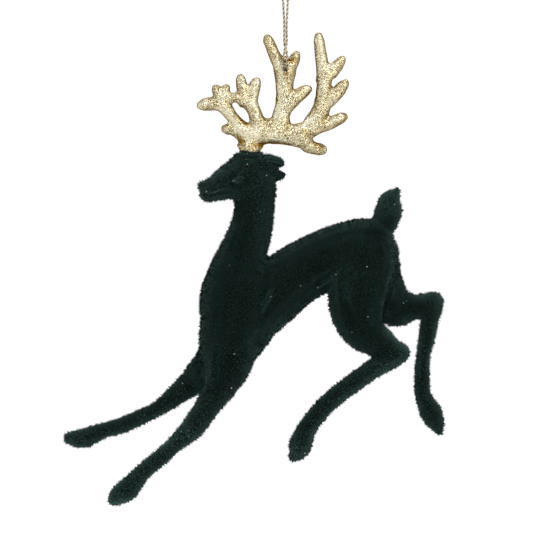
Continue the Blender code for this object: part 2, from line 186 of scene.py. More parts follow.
# The gold thread
# Metallic thread 0.6 mm thick, two plies of film-wrapped yarn laid up with an open twist. It is
# doubled into a hanging loop: both strands go through the antlers' hole from front to back.
HANG_DROP = 0.0450
THREAD_THICKNESS = 0.0006
STRAND_RISE = [
    (0.00040, 0.00190, 0.0000), (0.00040, 0.00080, 0.0000), (0.00042, -0.00060, 0.0000),
    (0.00050, -0.00175, 0.0001), (0.00058, -0.00262, 0.0005), (0.00064, -0.00300, 0.0013),
    (0.00060, -0.00290, 0.0025), (0.00045, -0.00262, 0.0041), (0.00034, -0.00235, 0.0055),
    (0.00002, -0.00217, 0.0067), (-0.00034, -0.00230, 0.0079), (-0.00038, -0.00250, 0.0095),
    (-0.00037, -0.00240, 0.0112), (-0.00036, -0.00203, 0.0130), (-0.00042, -0.00178, 0.0148),
    (-0.00058, -0.00150, 0.0180), (-0.00074, -0.00120, 0.0210), (-0.00110, -0.00092, 0.0262),
    (-0.00170, -0.00062, 0.0320), (-0.00225, -0.00036, 0.0370), (-0.00240, -0.00018, 0.0405),
    (-0.00200, -0.00006, 0.0433), (-0.00110, 0.00000, 0.0449),
]  # about the hole's middle, the last row next to the loop's top
LEAN_AT_HOLE = -0.0030
TWIST_FROM = 0.0030
ROUTE_STEPS = 12
PLY_VALUES = {
    "Plies": 2,
    "Ply Thickness": 0.00042,
    "Ply Reach": 0.00020,  # from the thread's middle to a ply's own
    "Lay Length": 0.0027,  # for one turn of the plies
    "Lay Steps": 14.0,  # in that length
    "Ply Sides": 8,
}
FILM_WIDTH = 0.00022
FILM_SCALE = 3200.0
DARK_FILM, PALE_FILM = (0.27, 0.22, 0.12, 1), (0.66, 0.61, 0.45, 1)
FILM_ROUGHNESS = (0.42, 0.25)
# Painted shade between the plies: the film turns to this near black toward the thread's middle.
SHADE_BETWEEN_PLIES = (0.012, 0.008, 0.004, 1)
DARK_WITHIN, PALE_BEYOND = 0.00018, 0.00033  # of the thread's middle
GROOVE_DEPTH = 0.00004
HOLE_SHADOW_FROM, HOLE_SHADOW_FULL = -0.0414, -0.0426  # heights between which dark beads are painted on the thread as painted shadow where it enters the hole
HOLE_SHADOW_SCALE, HOLE_SHADOW_EDGES = 1500.0, (0.50, 0.56)
# The colour of that painted shadow at the hole.
HOLE_SHADOW = (0.006, 0.004, 0.002, 1)


def smooth_route(rows, per_span):
    """Points on a Catmull-Rom curve through the rows, per_span to a span."""
    rows = [Vector(row) for row in rows]
    ends = [rows[0] * 2 - rows[1], *rows, rows[-1] * 2 - rows[-2]]
    line = []
    for before, start, end, after in zip(ends, ends[1:], ends[2:], ends[3:]):
        for step in range(per_span):
            t = step / per_span
            square = before * 2 - start * 5 + end * 4 - after
            cube = start * 3 - before - end * 3 + after
            line.append((start * 2 + (end - before) * t + square * t**2 + cube * t**3) / 2)
    return line + [rows[-1]]


def thread_route():
    rising, falling = [], []
    for x, y, z in STRAND_RISE:
        lean = LEAN_AT_HOLE * max(0.0, 1 - z / HANG_DROP)
        rising.append(Vector((x, y, z)))
        falling.append(Vector((-x, y if z < TWIST_FROM else 2 * lean - y, z)))
    top = Vector((0, 0, HANG_DROP + THREAD_THICKNESS / 2))
    route = smooth_route(rising + [top] + falling[::-1], ROUTE_STEPS)
    return [point - Vector((0, 0, HANG_DROP)) for point in route]


def polyline(name, lines):
    """A curve object with one open spline for each line of points."""
    curve = bpy.data.curves.new(name, "CURVE")
    curve.dimensions = "3D"
    for line in lines:
        spline = curve.splines.new("POLY")
        spline.points.add(len(line) - 1)
        spline.points.foreach_set("co", [number for point in line for number in (*point, 1)])
    return new_object(name, curve)


def new_geometry_tree(name, values):
    """A node tree for a modifier: geometry in and out, an input for each named value, a material."""
    tree = bpy.data.node_groups.new(name, "GeometryNodeTree")
    tree.interface.new_socket("Geometry", in_out="INPUT", socket_type="NodeSocketGeometry")
    tree.interface.new_socket("Geometry", in_out="OUTPUT", socket_type="NodeSocketGeometry")
    for label, value in values.items():
        kind = "NodeSocketInt" if isinstance(value, int) else "NodeSocketFloat"
        tree.interface.new_socket(label, in_out="INPUT", socket_type=kind)
    tree.interface.new_socket("Material", in_out="INPUT", socket_type="NodeSocketMaterial")
    return tree, add_node(tree, "NodeGroupInput").outputs


def close_geometry_tree(tree, given, geometry):
    """Turns what was placed into plain geometry, gives it its material and ends the tree."""
    real = add_node(tree, "GeometryNodeRealizeInstances", {"Geometry": geometry})
    finish = {"Geometry": real, "Material": given["Material"]}
    finished = add_node(tree, "GeometryNodeSetMaterial", finish)
    add_node(tree, "NodeGroupOutput", {"Geometry": finished})
    return tree


def stored(tree, geometry, name, value, kind="FLOAT"):
    """The geometry with a value kept at its points under a name."""
    feeds = {"Geometry": geometry, "Name": name, "Value": value}
    return add_node(tree, "GeometryNodeStoreNamedAttribute", feeds, data_type=kind, domain="POINT")


def recalled(tree, name, kind="FLOAT"):
    """What is kept under a name, in a geometry tree."""
    made = add_node(tree, "GeometryNodeInputNamedAttribute", {"Name": name}, data_type=kind)
    return made.outputs["Attribute"]


def surface_value(tree, name):
    """What is kept under a name, in a material."""
    return add_node(tree, "ShaderNodeAttribute", attribute_name=name).outputs["Fac"]


def scaled(tree, vector, share):
    feeds = {0: vector, "Scale": share}
    return add_node(tree, "ShaderNodeVectorMath", feeds, operation="SCALE").outputs[0]


def mixed(tree, share, first, second):
    """A colour between two others."""
    feeds = {"Factor": share, "A": first, "B": second}
    return add_node(tree, "ShaderNodeMix", feeds, data_type="RGBA").outputs["Result"]


def made_plain(name, base):
    """The plain mesh that a base object's modifiers make. The base is thrown away."""
    graph = bpy.context.evaluated_depsgraph_get()
    mesh = bpy.data.meshes.new_from_object(base.evaluated_get(graph))
    mesh.name = name
    bpy.data.objects.remove(base)
    return new_object(name, mesh)


def grown(name, base, tree, values, finish):
    """The plain mesh that a tree makes from a base object."""
    step = base.modifiers.new(name, "NODES")
    step.node_group = tree
    values = {**values, "Material": finish}
    for item in tree.interface.items_tree:
        if item.in_out == "INPUT" and item.name in values:
            step[item.identifier] = values[item.name]
    return made_plain(name, base)


def laid_up_plies():
    """Plies twisted round the middle line of each thread."""
    tree, given = new_geometry_tree("laid_up_plies", PLY_VALUES)
    spacing = maths(tree, "DIVIDE", given["Lay Length"], given["Lay Steps"])
    fine = add_node(
        tree, "GeometryNodeResampleCurve", {"Curve": given["Geometry"], "Length": spacing}, mode="LENGTH"
    )
    plies = add_node(
        tree, "GeometryNodeDuplicateElements", {"Geometry": fine, "Amount": given["Plies"]},
        domain="SPLINE",
    )
    along = add_node(tree, "GeometryNodeSplineParameter").outputs["Length"]
    turns = maths(tree, "DIVIDE", along, given["Lay Length"])
    share = maths(tree, "DIVIDE", plies.outputs["Duplicate Index"], given["Plies"])
    off = add_node(
        tree, "ShaderNodeVectorRotate",
        {
            "Vector": add_node(tree, "GeometryNodeInputNormal"),
            "Axis": add_node(tree, "GeometryNodeInputTangent"),
            "Angle": maths(tree, "MULTIPLY", maths(tree, "ADD", turns, share), math.tau),
        },
        rotation_type="AXIS_ANGLE",
    )
    place = add_node(tree, "GeometryNodeInputPosition")
    cored = stored(tree, plies, "core", place, "FLOAT_VECTOR")
    reach = scaled(tree, off, given["Ply Reach"])
    wound = add_node(tree, "GeometryNodeSetPosition", {"Geometry": cored, "Offset": reach})
    marked = stored(tree, wound, "along", along)
    section = add_node(
        tree, "GeometryNodeCurvePrimitiveCircle",
        {"Resolution": given["Ply Sides"], "Radius": maths(tree, "DIVIDE", given["Ply Thickness"], 2.0)},
    )
    tube = add_node(
        tree, "GeometryNodeCurveToMesh", {"Curve": marked, "Profile Curve": section, "Fill Caps": True}
    )
    height = vectors(tree, "DISTANCE", place, recalled(tree, "core", "FLOAT_VECTOR"))
    deepened = stored(tree, tube, "off_core", height)
    smooth = add_node(tree, "GeometryNodeSetShadeSmooth", {"Geometry": deepened})
    return close_geometry_tree(tree, given, smooth)


def gold_film():
    """Thin gold film wound round each ply, with fine cross lines where its turns meet. The film is
    painted dark toward the thread's middle as painted shade between the plies, and dark beads by the hole
    are painted shadow.
    """
    finish, tree = new_material("gold_film")
    turns = maths(tree, "FRACT", maths(tree, "MULTIPLY", surface_value(tree, "along"), 1 / FILM_WIDTH))
    groove = maths(tree, "PINGPONG", turns, 0.5)
    place = add_node(tree, "ShaderNodeTexCoord").outputs["Object"]
    patches = noise_at(tree, place, FILM_SCALE, 2.0)
    # Painted shade between the plies.
    outside = ranged(tree, surface_value(tree, "off_core"), DARK_WITHIN, PALE_BEYOND)
    film = mixed(tree, outside, SHADE_BETWEEN_PLIES, mixed(tree, patches, DARK_FILM, PALE_FILM))
    height = add_node(tree, "ShaderNodeSeparateXYZ", {"Vector": place}).outputs["Z"]
    # Painted shadow: dark beads on the thread where it enters the antlers' hole.
    at_hole = ranged(tree, height, HOLE_SHADOW_FROM, HOLE_SHADOW_FULL)
    beads = ranged(tree, noise_at(tree, place, HOLE_SHADOW_SCALE, 0.0), *HOLE_SHADOW_EDGES)
    glued = mixed(tree, maths(tree, "MULTIPLY", at_hole, beads), film, HOLE_SHADOW)
    bump = {"Strength": 0.6, "Distance": GROOVE_DEPTH, "Height": groove}
    bump = add_node(tree, "ShaderNodeBump", bump)
    roughness = ranged(tree, patches, 0.0, 1.0, *FILM_ROUGHNESS)
    finish_material(tree, Base_Color=glued, Metallic=0.6, Roughness=roughness, Normal=bump)
    return finish


ply_tree = laid_up_plies()
gold = gold_film()
route = thread_route()
thread = grown("gold_thread", polyline("thread_line", [route]), ply_tree, PLY_VALUES, gold)
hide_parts("hanging_cord")
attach(thread, "root")

# The stopper knot
# Both strands are tied together behind the hole in one overhand knot, which is too big to pull
# through it, and the two cut ends hang below. The photo doesn't show the back, so it is a guess.
KNOT_REACH = 0.00062
KNOT_FLATNESS = 0.75
KNOT_LEVEL = 0.0032  # behind the antlers' middle
KNOT_STEPS = 20
KNOT_TURN = (0.12, 0.93)  # how much of the closed overhand loop each strand follows
STRAND_SIZE, SIZE_APART = 0.92, 0.08  # one strand's loop lies inside the other's
APART_ACROSS, APART_UP = 0.00018, 0.0001
KNOT_FROM = 0.0013  # behind the antlers' middle, still in the hole
FIRST_STEP = Vector((0, 0.0006, 0.0001))
KNOT_ROUTE_STEPS = 4
END_LENGTH = 0.0042
END_SPREAD = 0.0011
END_SHARES = ((0.35, 0.3), (0.7, 0.75), (1.0, 1.0))  # of that length and that spread


def knotted_strand(side):
    """One strand: out of the hole, round the overhand loop, and down to its cut end."""
    enter = Vector((side * STRAND_RISE[0][0], KNOT_FROM, -HANG_DROP))
    middle = Vector((side * APART_ACROSS, KNOT_LEVEL, -HANG_DROP + APART_UP * side))
    line = [enter, enter + FIRST_STEP]
    first, last = KNOT_TURN
    for step in range(KNOT_STEPS + 1):
        t = math.tau * (first + (last - first) * step / KNOT_STEPS)
        loop = Vector((
            math.sin(t) + 2 * math.sin(2 * t),
            KNOT_FLATNESS * math.sin(3 * t),
            math.cos(t) - 2 * math.cos(2 * t),
        ))
        line.append(loop * KNOT_REACH * (STRAND_SIZE + SIZE_APART * side) + middle)
    down = line[-1]
    for drop, spread in END_SHARES:
        line.append(down + Vector((side * END_SPREAD * spread, 0, -END_LENGTH * drop)))
    return smooth_route(line, KNOT_ROUTE_STEPS)


knot_lines = [knotted_strand(side) for side in (-1, 1)]
knot = grown("tied_knot", polyline("knot_lines", knot_lines), ply_tree, PLY_VALUES, gold)
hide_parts("cord_knot")
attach(knot, "root")

# The moulded body
# A hard moulding of the leaping animal, from the ears to the hooves in one piece. Its modelling is
# soft, because the flock lies over it: eye, nostril, mouth, muscles and folds are low relief.
PIXEL = 0.0003  # the modelling is laid out in squares of this size about the thread's hole
MILLIMETRE = 0.001
BODY_CELL = 0.00052
BODY_SMOOTHING = 4
SAME_POINT = 0.000001
FLOCK_ROOM = 0.00012  # how far the moulding lies under the solid's face, for the flock to stand on
HEAD_FROM = -0.0845  # the lowest point of the finer head
FACING_GAIN = 1.6  # how fast a side's modelling fades in as the face turns to that side
BODY_LUMPS = ((0.00007, 300.0), (0.00006, 1100.0))  # height and scale
TUFT_SCALE, TUFT_HEIGHT = 2300.0, 0.0002
TUFT_SHARE = 0.85  # of the tone, and the brushed patches have the rest
BRUSHED_SCALE = 240.0
TONE_EDGES = (0.30, 0.74)
# Painted sheen: the base colour turns from the roots' colour to the lit sides' colour as the surface
# turns away.
VELVET_FALL = 1.1  # how late the lit sides take over as the surface turns away
SIDES_SPREAD = (0.85, 1.15)  # from dark tufts to light ones
# How strongly the pile table, which is partly painted light and painted shade, acts on the roots and on
# the sides.
PILE_AND_LIGHT_ON_ROOTS, PILE_AND_LIGHT_ON_SIDES = 0.65, 1.20
# The colour of the lit sides in that painted sheen, which brightens the flock toward its outline.
FIBRE_SIDES_LIT = (0.0277, 0.0495, 0.0466)
VELVET_SHEEN = (0.09, 0.19, 0.17, 1)
GROUND_TONES = (0.0003, 0.0006, 0.0005, 1), (0.0051, 0.0103, 0.0080, 1)
NEAR, FAR, BOTH = -1, 1, 0
# The folds and ridges of each side, down to the hooves' top rims. A row has a height in millimetres,
# half a width in squares and a line.
BODY_LINES = {
    BOTH: [
        (-0.48, 1.4, (-82, -124), (-74, -125), (-66, -122.5), (-62, -121)),
        (-0.2, 1.1, (-52, -110), (-49, -107.2), (-45, -106.0), (-41, -107.2)),
        (0.3, 2.0, (-46, -106), (-42, -102.5), (-39, -100.5)),
        (-0.36, 3.2, (-59, -99), (-53, -103), (-50, -106)),
        (-0.22, 3.4, (-66, -112), (-58, -113), (-53, -114)),
        (0.22, 2.4, (-62, -116), (-54, -117.5), (-46, -120), (-40, -127)),
        (-0.22, 3.0, (-36, -103), (-31, -112), (-33, -124)),
        (-0.35, 1.1, (-16, -97.5), (-10, -98.3), (-3, -98.8)),
        (0.2, 1.6, (-21, -89.5), (-12, -89.8), (-4, -91)),
        (-0.22, 3.5, (-46, -150), (-52, -176), (-58, -205)),
        (0.24, 2.2, (-28, -201), (-20, -205), (-14, -201)),
        (0.26, 2.4, (-10, -202), (-9, -214), (-11, -224)),
        (-0.38, 2.6, (-11.5, -228), (-16, -236), (-22, -246)),
        (-0.24, 3.2, (-20, -204), (-17, -216), (-22, -228)),
        (0.16, 1.2, (-97, -362.5), (-90, -361.5), (-85, -364)),
        (-0.36, 2.2, (50, -199), (40, -205), (29, -211.5)),
        (-0.24, 2.0, (47, -214), (39, -217), (33, -219.5)),
        (0.3, 2.6, (53, -208), (52, -224), (56, -246), (64, -262)),
        (-0.3, 2.4, (61, -228), (65, -243), (73, -256), (84, -264)),
        (0.24, 1.6, (62, -214), (65, -228), (71, -241), (74, -246)),
        (-0.32, 2.0, (76, -216), (78, -226), (77.5, -238)),
        (0.22, 1.8, (84, -206), (82, -222), (84, -238)),
        (-0.2, 3.0, (58, -176), (66, -190), (70, -204)),
        (-0.34, 2.2, (88, -163), (96, -164.5), (103, -168)),
        (0.24, 1.4, (86, -297), (98, -293), (112, -287.5)),
        (-0.22, 1.2, (84, -293), (96, -288), (106, -284)),
        (0.2, 1.6, (79, -298), (78.5, -303), (80, -307)),
        (-0.16, 1.1, (95, -103), (100, -112), (103, -124), (103, -136)),
        (-0.15, 0.9, (98, -134), (107, -130), (110, -140)), (-0.24, 1.0, (-168, -408), (-155, -396)),
        (-0.24, 1.0, (-209, -359), (-204, -378)), (-0.22, 1.0, (4, -376), (25, -383)),
        (-0.22, 1.0, (139, -349), (159, -341)),
    ],
    NEAR: [
        (-0.45, 1.9, (-19, -92), (-12, -93.8), (-5, -95.5)),
        (0.36, 2.2, (-15, -224), (-19, -231), (-25, -241)),
        (0.34, 2.8, (-80, -274), (-80.5, -290), (-81, -304), (-79, -318)),
        (-0.3, 3.4, (-69, -282), (-70, -298), (-70, -312)),
        (0.13, 0.7, (-68, -279), (-60, -278.4), (-53, -280), (-47, -281.5)),
        (0.13, 0.7, (-67, -312), (-61, -311.6), (-55, -313.5)),
        (0.34, 1.8, (52, -203.5), (43, -209.5), (32, -217)),
        (-0.3, 2.8, (98, -172), (99.5, -186), (97, -205)),
    ],
    FAR: [
        (-0.45, 1.9, (-16, -103), (-10, -103.5), (-4, -102)),
        (0.3, 1.8, (52, -203.5), (43, -209.5), (32, -217)),
        (-0.26, 2.4, (82, -196), (81, -212), (83, -230)),
        (0.2, 1.8, (132, -229), (140, -228), (146, -231)),
    ],
}
# Each swelling: its side, its height in millimetres, its middle, its reach along and across, and
# its turn in degrees.
BODY_SWELLINGS = [
    (BOTH, 0.45, (-47.5, -109.6), (4.6, 2.6), 12), (BOTH, 0.4, (-42.5, -85), (3.4, 2.6), -20),
    (BOTH, 0.4, (-28, -85), (3.0, 2.4), 30), (BOTH, -0.3, (-35, -88.5), (3.2, 2.2), 0),
    (BOTH, -0.45, (-81.3, -116.4), (2.3, 1.5), -30), (BOTH, 0.22, (-78, -118.5), (3.2, 2.0), -20),
    (BOTH, 0.26, (-47, -124), (10, 7), -20), (BOTH, 0.3, (-68, -238), (14, 34), -10),
    (BOTH, 0.25, (-42, -222), (16, 22), 20), (BOTH, 0.3, (92, -222), (12, 26), 8),
    (BOTH, 0.22, (78, -180), (16, 9), 0), (NEAR, 1.9, (101, -198), (7, 26), 6),
    (NEAR, 0.8, (104, -238), (8, 13), 0), (BOTH, 0.3, (108, -281), (6, 5), 0),
    (BOTH, 0.22, (148, -236), (5, 6), 0), (BOTH, 0.22, (-92, -364), (6, 5), 40),
    (BOTH, 0.22, (-128, -340), (7, 5), 30),
]
# Each correction of the outline: its middle, its reach and how far it moves, in squares.
BODY_PULLS = [
    ((-87, -114), 4.0, (-2.8, 0.4)), ((-85, -121), 2.6, (1.4, 0.0)), ((-86, -127), 4.0, (1.6, -0.4)),
    ((-23.5, -86), 2.4, (0.0, -2.0)), ((-24.5, -83.5), 1.8, (1.2, 0.9)),
    ((-27.5, -80.5), 2.0, (0.0, -1.2)), ((-32, -80), 3.6, (0.0, -1.6)), ((-42.5, -81), 2.4, (0.0, 1.9)),
    ((-49, -84), 3.0, (-0.8, 0.8)), ((-18, -188), 4.0, (-1.4, -2.4)), ((135, -250), 4.0, (2.0, 2.0)),
    ((124, -221), 6.0, (0.0, 1.7)), ((87, -287), 3.5, (2.2, 0.0)), ((-177, -432), 5.0, (-1.8, -1.8)),
    ((18, -387), 4.0, (0.0, 1.6)),
]
# How the flock is painted paler or darker, as powers of two of its brightness. Partly this is the pile:
# open and worn thin, so paler, or thick and close, so darker. Partly it is painted light and painted
# shade where light and shadow fall on the body. Each area is a line with the half width of its reach, in
# squares.
BODY_PILE_AND_PAINTED_LIGHT = [
    # The head, ears and neck.
    (0.4, 16, (-70, -118), (-45, -108), (-30, -100)), (0.65, 8, (-80, -122), (-68, -122)),
    (0.45, 5, (-66, -100), (-72, -118)), (0.45, 6, (-38, -120), (-22, -114)),
    (0.55, 4, (-74, -109), (-62, -104), (-46, -94)), (0.7, 5, (-16, -90.5), (-5, -91.5)),
    (0.5, 4, (-20, -93), (-3, -96)), (0.7, 2.6, (-50, -110), (-44, -108.5)),
    (0.4, 3, (-47, -105), (-39, -100)), (-0.45, 4, (-59, -99), (-52, -104)),
    (0.4, 4, (-63, -94), (-55, -99)), (-0.4, 4, (-68, -107), (-64, -112)),
    (-0.25, 6, (-44, -102), (-38, -114)), (-0.35, 4, (-34, -88), (-24, -90)),
    (-0.35, 3, (-9, -98), (-5, -101)), (0.5, 5, (-44, -121), (-32, -122)),
    (-0.5, 3.5, (-11, -116), (-12, -136)), (-0.15, 5, (-8, -104), (-2, -105)),
    (-0.5, 4, (-50, -84), (-47, -88)), (0.25, 7, (-50, -88), (-34, -86), (-28, -104)),
    (0.5, 2.5, (-59, -112), (-56, -116)),
    # The chest, ribs and belly.
    (0.45, 7, (-28, -136), (-30, -180)), (0.8, 4, (-15, -220), (-24, -238)),
    (0.4, 3, (-36, -202), (-24, -206)), (0.3, 7, (-46, -222), (-46, -250)),
    (0.75, 4, (-29, -262), (-36, -285), (-41, -297)), (0.3, 6, (-38, -272), (-32, -285)),
    (-0.75, 11, (30, -226), (8, -243)), (-0.9, 9, (-24, -274), (-32, -288)),
    (-0.5, 4, (-30, -194), (-4, -198)), (-0.35, 8, (-68, -206), (-48, -206)),
    (-0.32, 9, (-74, -232), (-73, -252)), (0.35, 3, (-81, -222), (-81, -236)),
    (0.3, 4, (-78, -198), (-76, -212)), (0.35, 4, (-55, -150), (-52, -156)),
    (-0.5, 5, (-30, -192), (-24, -194)), (0.5, 3, (-20, -189), (-19, -192)),
    (-0.2, 30, (-50, -215), (-55, -262)), (0.3, 8, (0, -262), (-24, -282)),
    (0.3, 8, (-28, -110), (-30, -155)), (-0.6, 5, (-9, -108), (-12, -140), (-18, -182)),
    (-0.7, 5, (-46, -134), (-50, -148)), (0.4, 3, (-53, -148), (-54, -156)),
    (-0.3, 6, (-43, -116), (-44, -160), (-48, -185)), (0.3, 5, (-52, -240), (-36, -243)),
    (0.3, 4, (-54, -259), (-51, -264)),
    # The back, haunches and tail.
    (1.25, 12, (98, -148), (104, -135), (109, -122)), (0.5, 5, (92, -125), (96, -132)),
    (0.3, 3, (99, -124), (101, -127)), (-0.3, 3, (111, -130), (111, -136)),
    (0.7, 3, (53, -203), (38, -213)), (0.4, 5, (56, -188), (55, -198)),
    (0.6, 2.5, (43, -206), (45, -208)), (0.45, 7, (60, -172), (72, -176)),
    (0.45, 7, (62, -200), (58, -228)), (0.4, 4, (70, -206), (62, -232)),
    (0.4, 4, (83, -242), (84, -252)), (-0.3, 8, (-14, -190), (30, -170), (62, -158), (88, -156)),
    (-0.9, 6, (90, -158), (96, -166)), (-0.4, 6, (97, -225), (97, -250)),
    (-0.75, 6, (107, -200), (106, -232)), (-0.45, 4, (97, -218), (99, -236)),
    (-0.3, 5, (100, -176), (108, -180)), (-0.6, 4, (95, -240), (96, -252)),
    (-0.9, 6, (86, -162), (92, -166), (104, -152)), (-0.35, 6, (86, -162), (97, -182)),
    (0.35, 8, (98, -148), (106, -140)), (0.6, 3.5, (101, -236), (102, -246)),
    (-0.45, 6, (110, -196), (115, -224)), (-0.35, 6, (28, -198), (37, -202)),
    (0.15, 4, (43, -206), (46, -210)), (-0.3, 7, (60, -242), (68, -252)),
    (0.22, 7, (66, -186), (72, -205)), (0.25, 5, (58, -222), (64, -226)),
    (-0.45, 4, (104, -187), (112, -188)), (-0.35, 3.5, (104, -198), (102, -228)),
    (0.8, 3.5, (103.5, -228), (102.5, -242)), (0.3, 3.5, (94, -190), (96, -192)),
    (-0.3, 4, (104, -235), (112, -238)),
    # The fore legs.
    (0.75, 13, (-78, -335), (-104, -366), (-134, -394), (-165, -424)),
    (0.3, 9, (-105, -370), (-130, -395), (-168, -430)), (0.45, 8, (-98, -362), (-118, -372)),
    (0.35, 7, (-84, -352), (-92, -366)), (0.75, 8, (-164, -428), (-175, -433)),
    (0.7, 10, (-88, -308), (-130, -342), (-180, -364), (-214, -372)),
    (0.35, 7, (-200, -366), (-222, -368)), (-0.35, 5, (-165, -413), (-160, -424)),
    (-0.6, 4, (-157, -342), (-140, -337), (-127, -331)), (-0.35, 4, (-93, -347), (-89, -356)),
    (0.35, 3, (-104, -352), (-99, -360)), (0.4, 4, (-185, -357), (-182, -358)),
    (0.25, 5, (-58, -316), (-64, -330)), (-0.35, 5, (-66, -316), (-68, -320)),
    (0.5, 3.5, (-76, -276), (-75, -308)), (-0.35, 6, (-57, -290), (-59, -305)),
    (-0.5, 4, (-88, -290), (-86, -302)), (0.35, 4, (-60, -325), (-55, -330)),
    (-0.5, 4, (-85, -288), (-85, -298)), (0.35, 4, (-60, -279), (-44, -280)),
    (-0.35, 3.5, (-140, -404), (-118, -388), (-106, -378)), (0.35, 4, (-146, -350), (-136, -345)),
    (0.35, 3, (-98, -300), (-92, -290)), (0.25, 4, (-172, -360), (-155, -355)),
    (-0.35, 4, (-104, -364), (-99, -370)),
    # The hind legs.
    (0.6, 9, (112, -284), (95, -298), (60, -320), (30, -350), (12, -378)),
    (0.3, 12, (18, -375), (8, -388)), (0.6, 8, (13, -380), (7, -387)),
    (0.45, 6, (116, -284), (104, -294), (78, -306)), (0.7, 7, (104, -264), (118, -278)),
    (0.65, 8, (134, -228), (152, -231), (140, -262), (135, -300), (138, -330)),
    (0.4, 6, (138, -230), (150, -231)), (0.5, 4, (133, -268), (131, -305)),
    (0.65, 5, (150, -352), (154, -364)), (0.4, 4, (58, -324), (60, -328)),
    (0.3, 4, (94, -299), (114, -291)), (0.5, 5, (118, -250), (124, -246)),
    (-0.45, 6, (92, -284), (106, -286)), (-0.6, 3.5, (28, -378), (36, -360), (48, -346)),
    (-0.3, 3, (144, -300), (144, -330)), (0.3, 4, (136, -268), (138, -300)),
    (0.35, 4, (136, -336), (146, -345)), (-0.35, 3, (156, -238), (153, -250)),
    (-0.35, 4, (110, -282), (118, -286)),
]
# Where the near thigh runs over into the far one: the modelling is smoothed along this line.
RUMP_LINE = [(92, -156), (99, -178), (103, -200), (101, -225), (97, -246)]
RUMP_REACH, RUMP_ROUNDS = 9, 60


def fine_copy(node, name, cell, rounds):
    """A fine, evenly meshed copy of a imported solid, with its facets smoothed away."""
    bm = bmesh.new()
    bm.from_mesh(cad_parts[node].data)
    bmesh.ops.remove_doubles(bm, verts=bm.verts, dist=SAME_POINT)
    rough = object_of(name, bm)
    even = rough.modifiers.new("even", "REMESH")
    even.mode, even.voxel_size = "VOXEL", cell
    soft = rough.modifiers.new("soft", "SMOOTH")
    soft.factor, soft.iterations = 0.5, rounds
    fine = made_plain(name, rough)
    fine.data.materials.clear()
    fine.data.polygons.foreach_set("use_smooth", [True] * len(fine.data.polygons))
    return fine


def finer_above(body, height):
    """Halves the cells of a mesh above a height."""
    bm = bmesh.new()
    bm.from_mesh(body.data)
    high = [edge for edge in bm.edges if min(vert.co.z for vert in edge.verts) > height]
    bmesh.ops.subdivide_edges(bm, edges=high, cuts=1, use_grid_fill=True, smooth=1.0)
    bmesh.ops.triangulate(bm, faces=[face for face in bm.faces if len(face.verts) > 4])
    for face in bm.faces:
        face.smooth = True
    bm.to_mesh(body.data)
    bm.free()


def read_points(mesh):
    points, normals = np.empty((2, len(mesh.vertices) * 3))
    mesh.vertices.foreach_get("co", points)
    mesh.vertices.foreach_get("normal", normals)
    return points.reshape(-1, 3), normals.reshape(-1, 3)


def write_points(mesh, points):
    mesh.vertices.foreach_set("co", points.ravel())
    mesh.update()


def store_values(mesh, name, values):
    mesh.attributes.new(name, "FLOAT", "POINT").data.foreach_set("value", values)


def in_squares(points):
    return np.stack([points[:, 0] / PIXEL, (points[:, 2] + HANG_DROP) / PIXEL], axis=1)


def distance_to_line(places, line):
    """How far each place is from a line of points, in squares."""
    near = np.full(len(places), 1e9)
    for a, b in zip(np.array(line, float), np.array(line[1:], float)):
        along = np.clip((places - a) @ (b - a) / ((b - a) @ (b - a)), 0, 1)
        near = np.minimum(near, np.hypot(*(places - a - along[:, None] * (b - a)).T))
    return near


def soft_lines(places, rows):
    """The sum at each place of rows with a height, half a width and a line's points."""
    total = np.zeros(len(places))
    for height, width, *line in rows:
        total += height * np.exp(-(distance_to_line(places, line) / width) ** 2)
    return total


def soft_swelling(places, middle, reach, turn):
    """1 at the middle of a turned oval, and fading out with its reach along and across."""
    turned = math.radians(turn)
    off = places - np.array(middle)
    u = (off[:, 0] * math.cos(turned) + off[:, 1] * math.sin(turned)) / reach[0]
    v = (off[:, 1] * math.cos(turned) - off[:, 0] * math.sin(turned)) / reach[1]
    return np.exp(-(u**2 + v**2))


def averaged(mesh, values, rounds):
    """Values at the vertices, each averaged with its neighbours a number of times."""
    ends = np.empty(len(mesh.edges) * 2, int)
    mesh.edges.foreach_get("vertices", ends)
    a, b = ends.reshape(-1, 2).T
    count = len(mesh.vertices)
    degree = np.bincount(a, minlength=count) + np.bincount(b, minlength=count)
    for _ in range(rounds):
        total = [
            np.bincount(a, column[b], count) + np.bincount(b, column[a], count) for column in values.T
        ]
        values = (values + np.stack(total, axis=1) / degree[:, None]) / 2
    return values


def lumps(points, sizes, first_seed):
    """Soft random unevenness at each point, from pairs of a height and a scale."""
    total = np.zeros(len(points))
    for seed, (height, scale) in enumerate(sizes, first_seed):
        shift = Vector((seed, seed * 2, seed * 3))
        total += height * np.array([noise.noise(Vector(point) * scale + shift) for point in points])
    return total


def pulled(points, places, pulls):
    """The points after each pull has moved those within its reach, and only in the outline's plane."""
    for middle, reach, (across, up) in pulls:
        share = np.exp(-((places - np.array(middle)) ** 2).sum(axis=1) / reach**2)
        points = points + share[:, None] * np.array([across, 0, up]) * PIXEL
    return points


